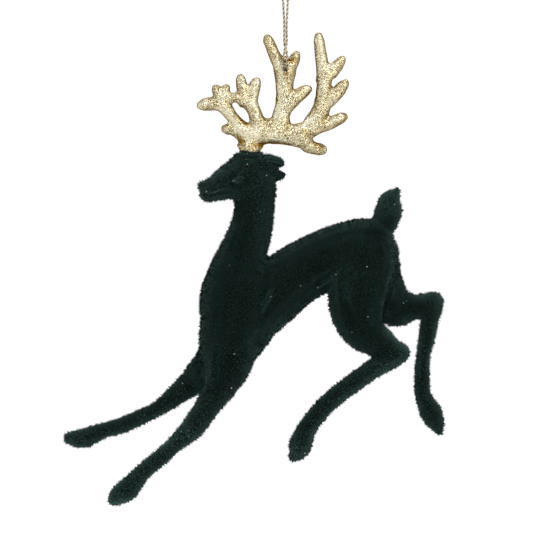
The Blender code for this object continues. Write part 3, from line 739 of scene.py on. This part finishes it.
def modelled_body():
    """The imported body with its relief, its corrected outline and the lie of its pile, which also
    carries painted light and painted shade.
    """
    body = fine_copy("flocked_body", "moulded_body", BODY_CELL, BODY_SMOOTHING)
    finer_above(body, HEAD_FROM)
    points, _ = read_points(body.data)
    share = soft_lines(in_squares(points), [(1, RUMP_REACH, *RUMP_LINE)])[:, None]
    write_points(body.data, points * (1 - share) + averaged(body.data, points, RUMP_ROUNDS) * share)
    points, normals = read_points(body.data)
    places = in_squares(points)
    facing = {side: np.clip(normals[:, 1] * side * FACING_GAIN, 0, 1) for side in (NEAR, FAR)}
    facing[BOTH] = facing[NEAR] + facing[FAR]
    relief = sum(facing[side] * soft_lines(places, rows) for side, rows in BODY_LINES.items())
    for side, height, middle, reach, turn in BODY_SWELLINGS:
        relief += facing[side] * height * soft_swelling(places, middle, reach, turn)
    relief = relief * MILLIMETRE - FLOCK_ROOM + lumps(points, BODY_LUMPS, first_seed=3)
    write_points(body.data, pulled(points + normals * relief[:, None], places, BODY_PULLS))
    # The pile table is kept on the body: partly the lie of the pile, and partly painted light and painted
    # shade on the flock.
    store_values(body.data, "pile_and_painted_light", soft_lines(places, BODY_PILE_AND_PAINTED_LIGHT))
    return body


def new_shader_group(name, inputs, outputs):
    """A node group for more than one material, with inputs and outputs of given kinds."""
    group = bpy.data.node_groups.new(name, "ShaderNodeTree")
    for in_out, sockets in (("INPUT", inputs), ("OUTPUT", outputs)):
        for label, kind in sockets.items():
            group.interface.new_socket(label, in_out=in_out, socket_type=f"NodeSocket{kind}")
    return group, add_node(group, "NodeGroupInput").outputs


def tufted_flock():
    """The dark roots and the lit sides of fibres that stand in light and dark tufts, with patches brushed
    over. Both are paler or darker as the pile table says: partly where the pile is open or close, and
    partly painted light and painted shade."""
    group, given = new_shader_group(
        "tufted_flock",
        {"Tuft Scale": "Float", "Brushed Scale": "Float", "Dark Roots": "Color", "Light Roots": "Color"},
        {"Tufts": "Float", "Lit": "Float", "Roots": "Color", "Sides": "Color"},
    )
    place = add_node(group, "ShaderNodeTexCoord").outputs["Object"]
    tufts = noise_at(group, place, given["Tuft Scale"], 2.0)
    brushed = noise_at(group, place, given["Brushed Scale"], 2.0)
    tone = maths(group, "MULTIPLY", tufts, TUFT_SHARE)
    tone = maths(group, "MULTIPLY_ADD", brushed, 1 - TUFT_SHARE, tone)
    tone = ranged(group, tone, *TONE_EDGES)
    pile_and_painted_light = surface_value(group, "pile_and_painted_light")
    roots, sides = [
        scaled(group, shade, maths(group, "POWER", 2.0, maths(group, "MULTIPLY", pile_and_painted_light, strength)))
        for shade, strength in (
            (mixed(group, tone, given["Dark Roots"], given["Light Roots"]), PILE_AND_LIGHT_ON_ROOTS),
            (FIBRE_SIDES_LIT, PILE_AND_LIGHT_ON_SIDES),
        )
    ]
    lit = ranged(group, tone, 0.0, 1.0, *SIDES_SPREAD)
    add_node(group, "NodeGroupOutput", {"Tufts": tufts, "Lit": lit, "Roots": roots, "Sides": sides})
    return group


def velvet(name, tufting, tones, **bump):
    """Dark roots seen from above, which give way to the fibres' lit sides where seen aslant: a painted
    sheen in the base colour.
    """
    finish, tree = new_material(name)
    values = {"Tuft Scale": TUFT_SCALE, "Brushed Scale": BRUSHED_SCALE}
    values["Dark Roots"], values["Light Roots"] = tones
    flock = add_node(tree, "ShaderNodeGroup", values, node_tree=tufting).outputs
    aslant = add_node(tree, "ShaderNodeLayerWeight", {"Blend": 0.5}).outputs["Facing"]
    lit = maths(tree, "MULTIPLY", maths(tree, "POWER", aslant, VELVET_FALL), flock["Lit"])
    feeds = {"Base_Color": mixed(tree, lit, flock["Roots"], flock["Sides"])}
    if bump:
        feeds["Normal"] = add_node(tree, "ShaderNodeBump", {**bump, "Height": flock["Tufts"]})
    finish_material(
        tree, Roughness=1.0, Specular_IOR_Level=0.0, Sheen_Weight=0.35, Sheen_Roughness=0.5,
        Sheen_Tint=VELVET_SHEEN, **feeds,
    )
    return finish


body = modelled_body()
tufting = tufted_flock()
body.data.materials.append(
    velvet("flock_ground", tufting, GROUND_TONES, Strength=0.9, Distance=TUFT_HEIGHT)
)
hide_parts("flocked_body")
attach(body, "root")

# The flock
# Short dyed fibres, blown on to wet glue so that most stand on end. Handling has brushed them in
# patches, and they are darkest at their roots. They are made in three areas of the body.
FIBRE_VALUES = {
    "Fibres Per Area": 12.0e6,  # on a square metre
    "Fibre Length": 0.00031,
    "Fibre Thickness": 0.00010,
    "Fibre Sides": 3,
    "Random Lean": 0.40,
    "Brushed Lean": 1.6,
    "Brushed Scale": BRUSHED_SCALE,
    "Clump Scale": 1750.0,
    "Clumps On Sides": 1.0,  # each area has its own
    "Seed": 11,  # of the first area
}
FIBRE_SIZES = (0.75, 1.25)
CLUMP_EDGES, CLUMP_HEIGHTS = (0.45, 0.61), (-0.7, 1.5)
BROAD_SIDE, EDGE = 0.85, 0.45  # how squarely the ground faces sideways on each
FIBRE_TONES = (0.0007, 0.0014, 0.0011, 1), (0.0061, 0.0118, 0.0092, 1)
LEGS_BELOW, TRUNK_FROM = -0.1265, 0.0
# Each area of the flock: how tall its clumps stand on the broad sides, as a share of those on the
# edges, and which faces it takes. The trunk is handled most.
FLOCK_AREAS = {
    "flock_on_head_and_neck": (0.55, lambda p: p.z >= LEGS_BELOW and p.x < TRUNK_FROM),
    "flock_on_trunk": (0.30, lambda p: p.z >= LEGS_BELOW and p.x >= TRUNK_FROM),
    "flock_on_legs": (0.85, lambda p: p.z < LEGS_BELOW),
}


def centred(tree, random_colour, reach):
    """A random colour turned into a vector that may point any way."""
    return scaled(tree, vectors(tree, "SUBTRACT", random_colour, (0.5, 0.5, 0.5)), reach)


def tipped(tree, upright, tilt, seed):
    """A turn that stands a piece upright and then tips it at random."""
    random_way = add_node(
        tree, "FunctionNodeRandomValue", {"Min": (-1, -1, -1), "Max": (1, 1, 1), "Seed": seed},
        data_type="FLOAT_VECTOR",
    )
    lean = vectors(tree, "ADD", upright, scaled(tree, random_way, tilt))
    return add_node(tree, "FunctionNodeAlignRotationToVector", {"Vector": lean}, axis="Z")


def random_between(tree, limits, seed):
    feeds = {2: limits[0], 3: limits[1], "Seed": seed}
    return add_node(tree, "FunctionNodeRandomValue", feeds, data_type="FLOAT").outputs[1]


def cones_on_points(tree, points, sides, reach, height, turn, size):
    """A thin cone at each point, for a fibre or a flake."""
    cone = add_node(
        tree, "GeometryNodeMeshCone",
        {"Vertices": sides, "Radius Top": 0.0, "Radius Bottom": reach, "Depth": height}, fill_type="NGON",
    )
    feeds = {"Points": points, "Instance": cone, "Rotation": turn, "Scale": size}
    return add_node(tree, "GeometryNodeInstanceOnPoints", feeds)


def standing_fibres():
    """Fibres on a surface, leaning at random and together where the flock is brushed."""
    tree, given = new_geometry_tree("standing_fibres", FIBRE_VALUES)
    strewn = add_node(
        tree, "GeometryNodeDistributePointsOnFaces",
        {"Mesh": given["Geometry"], "Density": given["Fibres Per Area"], "Seed": given["Seed"]},
    )
    ground = strewn.outputs["Normal"]
    place = add_node(tree, "GeometryNodeInputPosition")
    brushed = noise_at(tree, place, given["Brushed Scale"], 1.0, "Color")
    brushed = vectors(tree, "ADD", ground, centred(tree, brushed, given["Brushed Lean"]))
    turn = tipped(tree, brushed, given["Random Lean"], given["Seed"])
    clumps = noise_at(tree, place, given["Clump Scale"], 1.0)
    clumps = ranged(tree, clumps, *CLUMP_EDGES, *CLUMP_HEIGHTS)
    sideways = add_node(tree, "ShaderNodeSeparateXYZ", {"Vector": ground}).outputs["Y"]
    sideways = maths(tree, "ABSOLUTE", sideways)
    uneven = ranged(tree, sideways, BROAD_SIDE, EDGE, given["Clumps On Sides"], 1.0)
    taller = maths(tree, "MULTIPLY_ADD", clumps, uneven, 1.0)
    size = maths(tree, "MULTIPLY", random_between(tree, FIBRE_SIZES, given["Seed"]), taller)
    stood = cones_on_points(
        tree, stored(tree, strewn, "ground_normal", ground, "FLOAT_VECTOR"), given["Fibre Sides"],
        maths(tree, "DIVIDE", given["Fibre Thickness"], 2.0), given["Fibre Length"], turn, size,
    )
    lit_as_ground = add_node(
        tree, "GeometryNodeSetMeshNormal",
        {
            "Mesh": add_node(tree, "GeometryNodeRealizeInstances", {"Geometry": stood}),
            "Custom Normal": recalled(tree, "ground_normal", "FLOAT_VECTOR"),
        },
        mode="FREE", domain="POINT",
    )
    return close_geometry_tree(tree, given, lit_as_ground)


def patch_of(source, name, keep):
    """A copy of the part of a surface whose faces' middles pass a test."""
    bm = bmesh.new()
    bm.from_mesh(source.data)
    gone = [face for face in bm.faces if not keep(face.calc_center_median())]
    bmesh.ops.delete(bm, geom=gone, context="FACES")
    return object_of(name, bm)


fibre_tree = standing_fibres()
fibre_finish = velvet("dark_green_fibre", tufting, FIBRE_TONES)
for seed, (name, (on_sides, keep)) in enumerate(FLOCK_AREAS.items(), FIBRE_VALUES["Seed"]):
    values = {**FIBRE_VALUES, "Clumps On Sides": on_sides, "Seed": seed}
    fibres = grown(name, patch_of(body, name, keep), fibre_tree, values, fibre_finish)
    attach(fibres, "root")

# The antlers
# One flat casting in hard plastic, painted amber gold and then dipped in glue and fine glitter. Its foot
# is glued into the flock of the crown. On the edges and in the crotches the glitter is thin and the amber
# is painted darker, which is partly wear and partly painted shade.
ANTLER_CELL = 0.00030
ANTLER_SMOOTHING = 3
ANTLER_LUMPS = ((0.00012, 430.0), (0.00002, 1500.0))
FOOT_LEVEL = -0.0690
FOOT_REACH = 0.0006  # how far above the foot the casting is drawn down into the flock
FOOT_SINK = 0.0004
BURR_KNOBS = [((-45.0, -73.5), 3.2), ((-26.0, -78.5), 3.0), ((-35.0, -79.0), 2.6), ((-40.0, -78.0), 2.4)]
BURR_HEIGHT = 0.0005  # of the knobs round the foot, each listed with its reach in squares
# Where the amber is painted darker (below 0), partly thick lacquer and partly painted shade in the
# crotches, under the branches and in the notch, or the glitter is painted dense and bright (above 0),
# partly dense glitter and partly painted highlight, in the same terms as the body's pile.
ANTLER_COAT_AND_PAINTED_LIGHT = [
    (-1.0, 2.0, (-3, 12), (1, 9), (5, 9), (9, 12)), (-0.4, 3, (0, -2), (1, -5)),
    (-0.7, 2.4, (-51, -46), (-40, -54)), (-0.5, 2, (-41, -53), (-38, -55)),
    (-0.4, 2, (-55, -57), (-53, -66)), (-0.9, 3.5, (-47, -66), (-44, -72)),
    (-0.4, 3, (-63, -57), (-61, -60)), (-0.7, 3, (-33, -75), (-24, -75)),
    (-0.5, 2, (-52, -27), (-49, -29)), (-0.4, 3, (-47, -16), (-46, -24)),
    (-0.2, 2, (-44, -33), (-41, -37)), (-0.4, 2, (-34, -46), (-33, -53)),
    (-0.3, 3, (-58, -32), (-56, -38)), (-0.2, 3, (-38, -24), (-37, -28)),
    (-0.3, 4, (-22, -50), (-12, -54)), (-0.8, 2.2, (-10, -1), (-9.5, -28)),
    (-0.4, 1.5, (30.5, 22), (31, 2)), (-0.5, 1.8, (32, -6), (31, -20), (30, -42)),
    (-0.6, 2.2, (-26, -74), (-2, -73.5)), (-0.45, 3.5, (42, -48), (37, -54)),
    (-0.5, 3, (58, -46), (60, -49), (50, -56)), (-0.8, 3, (28, -74), (36, -77)),
    (-0.3, 4, (0, -6), (3, -4)), (-0.3, 4, (-20, 30), (-17, 20), (-15, 14)),
    (-0.3, 3, (-72, -18), (-60, -20)), (-0.4, 3, (2, -56), (3, -66)), (-0.5, 2, (1, -74), (4, -75)),
    (-0.4, 3, (18, -60), (24, -66)), (-0.35, 4, (43, -18), (41, -28)), (-0.2, 3.5, (53, 4), (57, -2)),
    (-0.2, 3.5, (62, -20), (57, -26)), (-0.5, 3, (3, 8), (7, 9)),
    (0.4, 4, (-7, 6), (-8, -8), (-6, -20)), (0.3, 3, (9, 14), (12, 15)), (0.2, 4, (7, 4), (10, 2)),
    (0.15, 4, (-5, -20), (-3, -42)), (0.45, 4, (-58, -42), (-48, -56), (-38, -72)),
    (0.35, 4, (-30, -56), (-28, -66)), (0.4, 3, (-59, -61), (-58, -63)),
    (0.5, 3, (-33, -10), (-27, -12)), (0.5, 3.5, (-34, -34), (-28, -36), (-28, -30)),
    (0.3, 4, (-12, -43), (-8, -52)), (0.3, 3, (-85, -35), (-78, -30)), (0.25, 4, (-10, -64), (-4, -70)),
    (0.3, 3, (-54, -24), (-46, -27)), (0.35, 4, (-34, -18), (-30, -22)), (0.3, 6, (20, -50), (26, -50)),
    (0.3, 3, (22, -17), (26, -19)), (0.5, 3, (45, 4), (47, 5)), (0.25, 4, (37, -12), (38, -28)),
    (0.3, 3, (44, -30), (45, -36)), (0.3, 5, (33, 28), (35, 0)), (-0.2, 3, (6, 6), (7, -2)),
    (0.3, 4, (46, -50), (55, -49)), (0.2, 4, (-14, -64), (-4, -68)), (0.4, 3, (-70, -40), (-63, -42)),
    (0.5, 3, (14, -58), (18, -54), (24, -50)), (0.4, 3, (-11, -45), (-5, -36)),
    (-0.35, 3, (-43, -68), (-41, -78)), (0.4, 3, (-49, -62), (-46, -64)),
    (0.4, 3.5, (-37, -62), (-33, -64)), (0.35, 4, (-61, -20), (-62, -32)),
    (-0.25, 4, (-75, -32), (-75, -38)), (-0.25, 4, (-5, -56), (-5, -64)),
    (0.3, 4, (-44, -8), (-42, -14)), (0.3, 3, (4, -66), (6, -68)), (0.3, 3, (46, 1), (47, 5)),
]
# Each correction of the outline, in the same terms as the body's.
ANTLER_PULLS = [
    ((50, -12), 3.0, (-1.4, 1.8)), ((28, -67), 3.0, (-2.2, 0.2)), ((-73, -24), 3.0, (2.0, -1.4)),
    ((8, -20), 3.0, (-1.6, -1.0)), ((5, 14), 2.5, (-0.6, -1.6)), ((-32, -80), 4.0, (0.0, -2.0)),
    ((-47, -75.5), 1.5, (-1.4, 0.2)), ((-46, -79.5), 1.6, (1.2, 0.0)), ((-24, -81), 2.0, (-2.0, 0.0)),
    ((-22.5, -77.5), 1.4, (1.3, 0.0)), ((-72, -27), 2.2, (1.6, 0.0)), ((-58, -27), 2.0, (-0.8, 0.0)),
]
HOLE_REACH = 0.0013  # the drilled hole with its worn rim
HOLE_LEFT = 0.0005  # what the glue and the glitter leave open
HOLE_SPREAD = 0.0024  # as far as the surface round it is drawn in
# The edges are painted darker amber and given fewer flakes as the face turns from the side to the edge:
# partly wear, partly painted shade.
WEAR_AND_SHADE_FROM, WEAR_AND_SHADE_OVER, WEAR_AND_SHADE_POWER = 0.15, 0.70, 1.3  # as the face turns from the side to the edge
WEAR_AND_SHADE_ON_FLAKES = 0.9
FLAKE_VALUES = {
    "Flakes Per Area": 14.0e6,  # on a square metre, where they lie thickest
    "Flake Spacing": 0.00018,
    "Flake Reach": 0.000085,
    "Flake Height": 0.00002,
    "Flake Sides": 4,
    "Tilt": 0.40,
    "Seed": 3,
}
TONE_SEED_STEP = 5.0  # so that a flake's tone has nothing to do with its size
FLAKE_SIZES = (0.7, 1.3)
GRAIN_SCALE, GRAIN_TILT, GRAIN_ROUGHNESS = 5400.0, 0.75, (0.30, 0.48)
FLAKE_ROUGHNESS = 0.26
# The flakes' tones along a ramp, from those that turned their back to those that catch the light.
GLITTER_TONES = [
    (0.0, (0.02, 0.012, 0.004, 1)), (0.25, (0.11, 0.062, 0.010, 1)), (0.36, (0.44, 0.37, 0.17, 1)),
    (0.72, (0.67, 0.62, 0.40, 1)), (0.86, (0.73, 0.60, 0.43, 1)), (1.0, (0.86, 0.84, 0.71, 1)),
]
GLITTER_RIM = (0.55, 0.42, 0.20, 1)
# The bright glitter where the coat table is above 0: partly dense glitter, partly painted highlight.
DENSE_GLITTER_AND_HIGHLIGHT = (0.80, 0.78, 0.63, 1)
# The amber of the lacquer, which on the edges and in the crotches also stands for painted shade.
AMBER_AND_SHADE = (0.19, 0.105, 0.012)
AMBER_SPREAD = (0.05, 1.7)  # over the darkest flakes and the brightest


def closed_hole(points):
    """Draws the rim of the thread's hole in by what the glue and the glitter fill."""
    across, up = points[:, 0], points[:, 2] + HANG_DROP
    off = np.hypot(across, up)
    closed = np.interp(off, [0, HOLE_REACH, HOLE_SPREAD], [0, HOLE_LEFT, HOLE_SPREAD])
    scale = np.where(off < HOLE_SPREAD, closed / np.maximum(off, SAME_POINT), 1)
    return np.stack([across * scale, points[:, 1], up * scale - HANG_DROP], axis=1)


def cast_antlers():
    antlers = fine_copy("glitter_antlers", "glittered_antlers", ANTLER_CELL, ANTLER_SMOOTHING)
    points, normals = read_points(antlers.data)
    places = in_squares(points)
    relief = lumps(points, ANTLER_LUMPS, first_seed=21)
    for middle, reach in BURR_KNOBS:
        knob = soft_swelling(places, middle, (reach, reach), 0)
        relief += BURR_HEIGHT * knob * np.abs(normals[:, 1])
    points = points + normals * relief[:, None]
    low = np.clip((FOOT_LEVEL + FOOT_REACH - points[:, 2]) / FOOT_REACH, 0, 1)
    points[:, 2] -= FOOT_SINK * low
    write_points(antlers.data, pulled(closed_hole(points), places, ANTLER_PULLS))
    # Edge darkening: partly wear of the glitter, and partly painted shade on the edges that turn away.
    edge = 1 - np.abs(normals[:, 1])
    # The coat table: painted shade in the crotches and undersides, partly thick lacquer, and painted
    # highlight where the glitter is dense.
    coat_and_light = soft_lines(places, ANTLER_COAT_AND_PAINTED_LIGHT)
    worn_and_shaded = np.clip((edge - WEAR_AND_SHADE_FROM) / WEAR_AND_SHADE_OVER, 0, 1) ** WEAR_AND_SHADE_POWER
    worn_and_shaded = np.clip(worn_and_shaded - np.minimum(coat_and_light, 0), 0, 1)
    store_values(antlers.data, "bare_and_shaded", worn_and_shaded)
    store_values(antlers.data, "dense_and_highlit", np.clip(coat_and_light, 0, 1))
    store_values(antlers.data, "flake_cover", 1 - WEAR_AND_SHADE_ON_FLAKES * worn_and_shaded)
    return antlers


def lacquered_and_shaded_film():
    """Metallised film: mostly pale gold, some rosy, and a few flakes that turned their dark back. An
    amber lacquer runs down over it, thickest on the edges and in the crotches, where its darkness is
    partly painted shade. Where the glitter is dense it is painted brighter, partly as painted highlight."""
    group, given = new_shader_group("lacquered_and_shaded_film", {"Tone": "Float"}, {"Colour": "Color"})
    ramp = add_node(group, "ShaderNodeValToRGB", {"Fac": given["Tone"]})
    ends = ramp.color_ramp.elements
    ends[0].position, ends[0].color = GLITTER_TONES[0]
    ends[1].position, ends[1].color = GLITTER_TONES[-1]
    for where, colour in GLITTER_TONES[1:-1]:
        ends.new(where).color = colour
    brighter = mixed(group, surface_value(group, "dense_and_highlit"), ramp.outputs["Color"], DENSE_GLITTER_AND_HIGHLIGHT)
    lacquer_and_shade = scaled(group, AMBER_AND_SHADE, ranged(group, given["Tone"], 0.0, 1.0, *AMBER_SPREAD))
    colour = mixed(group, surface_value(group, "bare_and_shaded"), brighter, lacquer_and_shade)
    add_node(group, "NodeGroupOutput", {"Colour": colour})
    return group


def fine_glitter(film):
    """The casting's own coat: the finest glitter, as small facets in its surface."""
    finish, tree = new_material("fine_glitter")
    place = add_node(tree, "ShaderNodeTexCoord").outputs["Object"]
    grains = add_node(tree, "ShaderNodeTexVoronoi", {"Vector": place, "Scale": GRAIN_SCALE})
    tone = add_node(tree, "ShaderNodeSeparateColor", {"Color": grains.outputs["Color"]}).outputs
    leaned = centred(tree, grains.outputs["Color"], GRAIN_TILT)
    facing = add_node(tree, "ShaderNodeNewGeometry").outputs["Normal"]
    coloured = add_node(tree, "ShaderNodeGroup", {"Tone": tone["Red"]}, node_tree=film)
    finish_material(
        tree, Base_Color=coloured, Metallic=1.0, Specular_Tint=GLITTER_RIM,
        Roughness=ranged(tree, tone["Blue"], 0.0, 1.0, *GRAIN_ROUGHNESS),
        Normal=vectors(tree, "NORMALIZE", vectors(tree, "ADD", facing, leaned)),
    )
    return finish


def glitter_flakes():
    """Flakes strewn evenly over a surface, each tilted a little its own way."""
    tree, given = new_geometry_tree("glitter_flakes", FLAKE_VALUES)
    strewn = add_node(
        tree, "GeometryNodeDistributePointsOnFaces",
        {
            "Mesh": given["Geometry"], "Distance Min": given["Flake Spacing"],
            "Density Max": given["Flakes Per Area"], "Density Factor": recalled(tree, "flake_cover"),
            "Seed": given["Seed"],
        },
        distribute_method="POISSON",
    )
    tone = random_between(tree, (0.0, 1.0), maths(tree, "ADD", given["Seed"], TONE_SEED_STEP))
    laid = cones_on_points(
        tree, stored(tree, strewn, "flake_tone", tone), given["Flake Sides"], given["Flake Reach"],
        given["Flake Height"], tipped(tree, strewn.outputs["Normal"], given["Tilt"], given["Seed"]),
        random_between(tree, FLAKE_SIZES, given["Seed"]),
    )
    return close_geometry_tree(tree, given, laid)


def gold_flake(film):
    finish, tree = new_material("gold_flake")
    tone = surface_value(tree, "flake_tone")
    coloured = add_node(tree, "ShaderNodeGroup", {"Tone": tone}, node_tree=film)
    finish_material(
        tree, Base_Color=coloured, Metallic=1.0, Roughness=FLAKE_ROUGHNESS, Specular_Tint=GLITTER_RIM
    )
    return finish


antlers = cast_antlers()
film = lacquered_and_shaded_film()
antlers.data.materials.append(fine_glitter(film))
flake_tree = glitter_flakes()
flake_finish = gold_flake(film)
glued = patch_of(antlers, "glitter_on_antlers", lambda place: True)
flakes = grown("glitter_on_antlers", glued, flake_tree, FLAKE_VALUES, flake_finish)
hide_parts("glitter_antlers")
for piece in (antlers, flakes):
    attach(piece, "root")

# Lint and shed glitter
# Pale specks of dust caught in the flock, and flakes that fell from the antlers on to the crown while
# the glue was wet. Nothing holds them but the pile.
LINT_SIZE = 0.00022
LINT_STANDS = 0.0007  # on the tips of the flock
# Each speck: its place across and up, in squares, and its size.
LINT = [
    (-38, -94.5, 1.3), (-52, -111, 1.0), (-19, -105.5, 1.0), (-56, -195.5, 0.8), (-15, -226.5, 1.0),
    (15, -215.5, 0.8), (32, -217.5, 1.1), (50, -204.5, 0.9), (-51, -283.5, 1.6), (-54, -317.5, 1.3),
    (-103, -313.5, 0.9), (-97, -365.5, 0.9), (81, -196.5, 1.0), (82, -246.5, 1.0), (109, -134.5, 1.1),
    (118, -233, 1.0), (121, -231, 0.8), (19, -382.5, 1.1), (-79, -121.5, 1.1), (-25, -142, 0.7),
    (-104, -361, 0.8), (53, -328, 0.7), (-47, -130, 0.6), (66, -262, 0.6),
]
IN_FRONT = -0.05  # of the whole body
LINT_STRETCH, LINT_CRUMPLE = (0.75, 1.15), (0.6, 1.2)
FLUFF_SCALE = 5000.0
FLUFF_TONES = (0.06, 0.08, 0.075, 1), (0.32, 0.35, 0.33, 1)
SHED_MIDDLE, SHED_REACH = (-36, -86), 15
SHED_VALUES = {
    **FLAKE_VALUES, "Flakes Per Area": 1.6e6, "Flake Reach": 0.00006, "Tilt": 1.0, "Seed": 8,
}


def lint_specks(ground):
    """Crumpled bits of fluff on the side of the body that faces -Y."""
    tree = BVHTree.FromObject(ground, bpy.context.evaluated_depsgraph_get())
    chance = random.Random(4)
    bm = bmesh.new()
    for x, z, size in LINT:
        before = Vector((x * PIXEL, IN_FRONT, z * PIXEL - HANG_DROP))
        place = tree.ray_cast(before, Vector((0, 1, 0)))[0] - Vector((0, LINT_STANDS, 0))
        bit = bmesh.ops.create_icosphere(bm, subdivisions=1, radius=LINT_SIZE)["verts"]
        stretch = Vector([size * chance.uniform(*LINT_STRETCH) for _ in range(3)])
        for vert in bit:
            vert.co = place + vert.co * chance.uniform(*LINT_CRUMPLE) * stretch
    return object_of("lint", bm)


def grey_lint():
    finish, tree = new_material("grey_lint")
    place = add_node(tree, "ShaderNodeTexCoord").outputs["Object"]
    fluff = noise_at(tree, place, FLUFF_SCALE, 2.0)
    finish_material(tree, Base_Color=mixed(tree, fluff, *FLUFF_TONES), Roughness=1.0)
    return finish


def on_crown(place):
    across = place.x / PIXEL - SHED_MIDDLE[0]
    up = (place.z + HANG_DROP) / PIXEL - SHED_MIDDLE[1]
    return math.hypot(across, up) < SHED_REACH


lint = lint_specks(body)
lint.data.materials.append(grey_lint())
crown = patch_of(body, "shed_glitter", on_crown)
store_values(crown.data, "flake_cover", np.ones(len(crown.data.vertices)))
shed = grown("shed_glitter", crown, flake_tree, SHED_VALUES, flake_finish)
for piece, slot in ((lint, "flock"), (shed, "glitter")):
    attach(piece, "root")
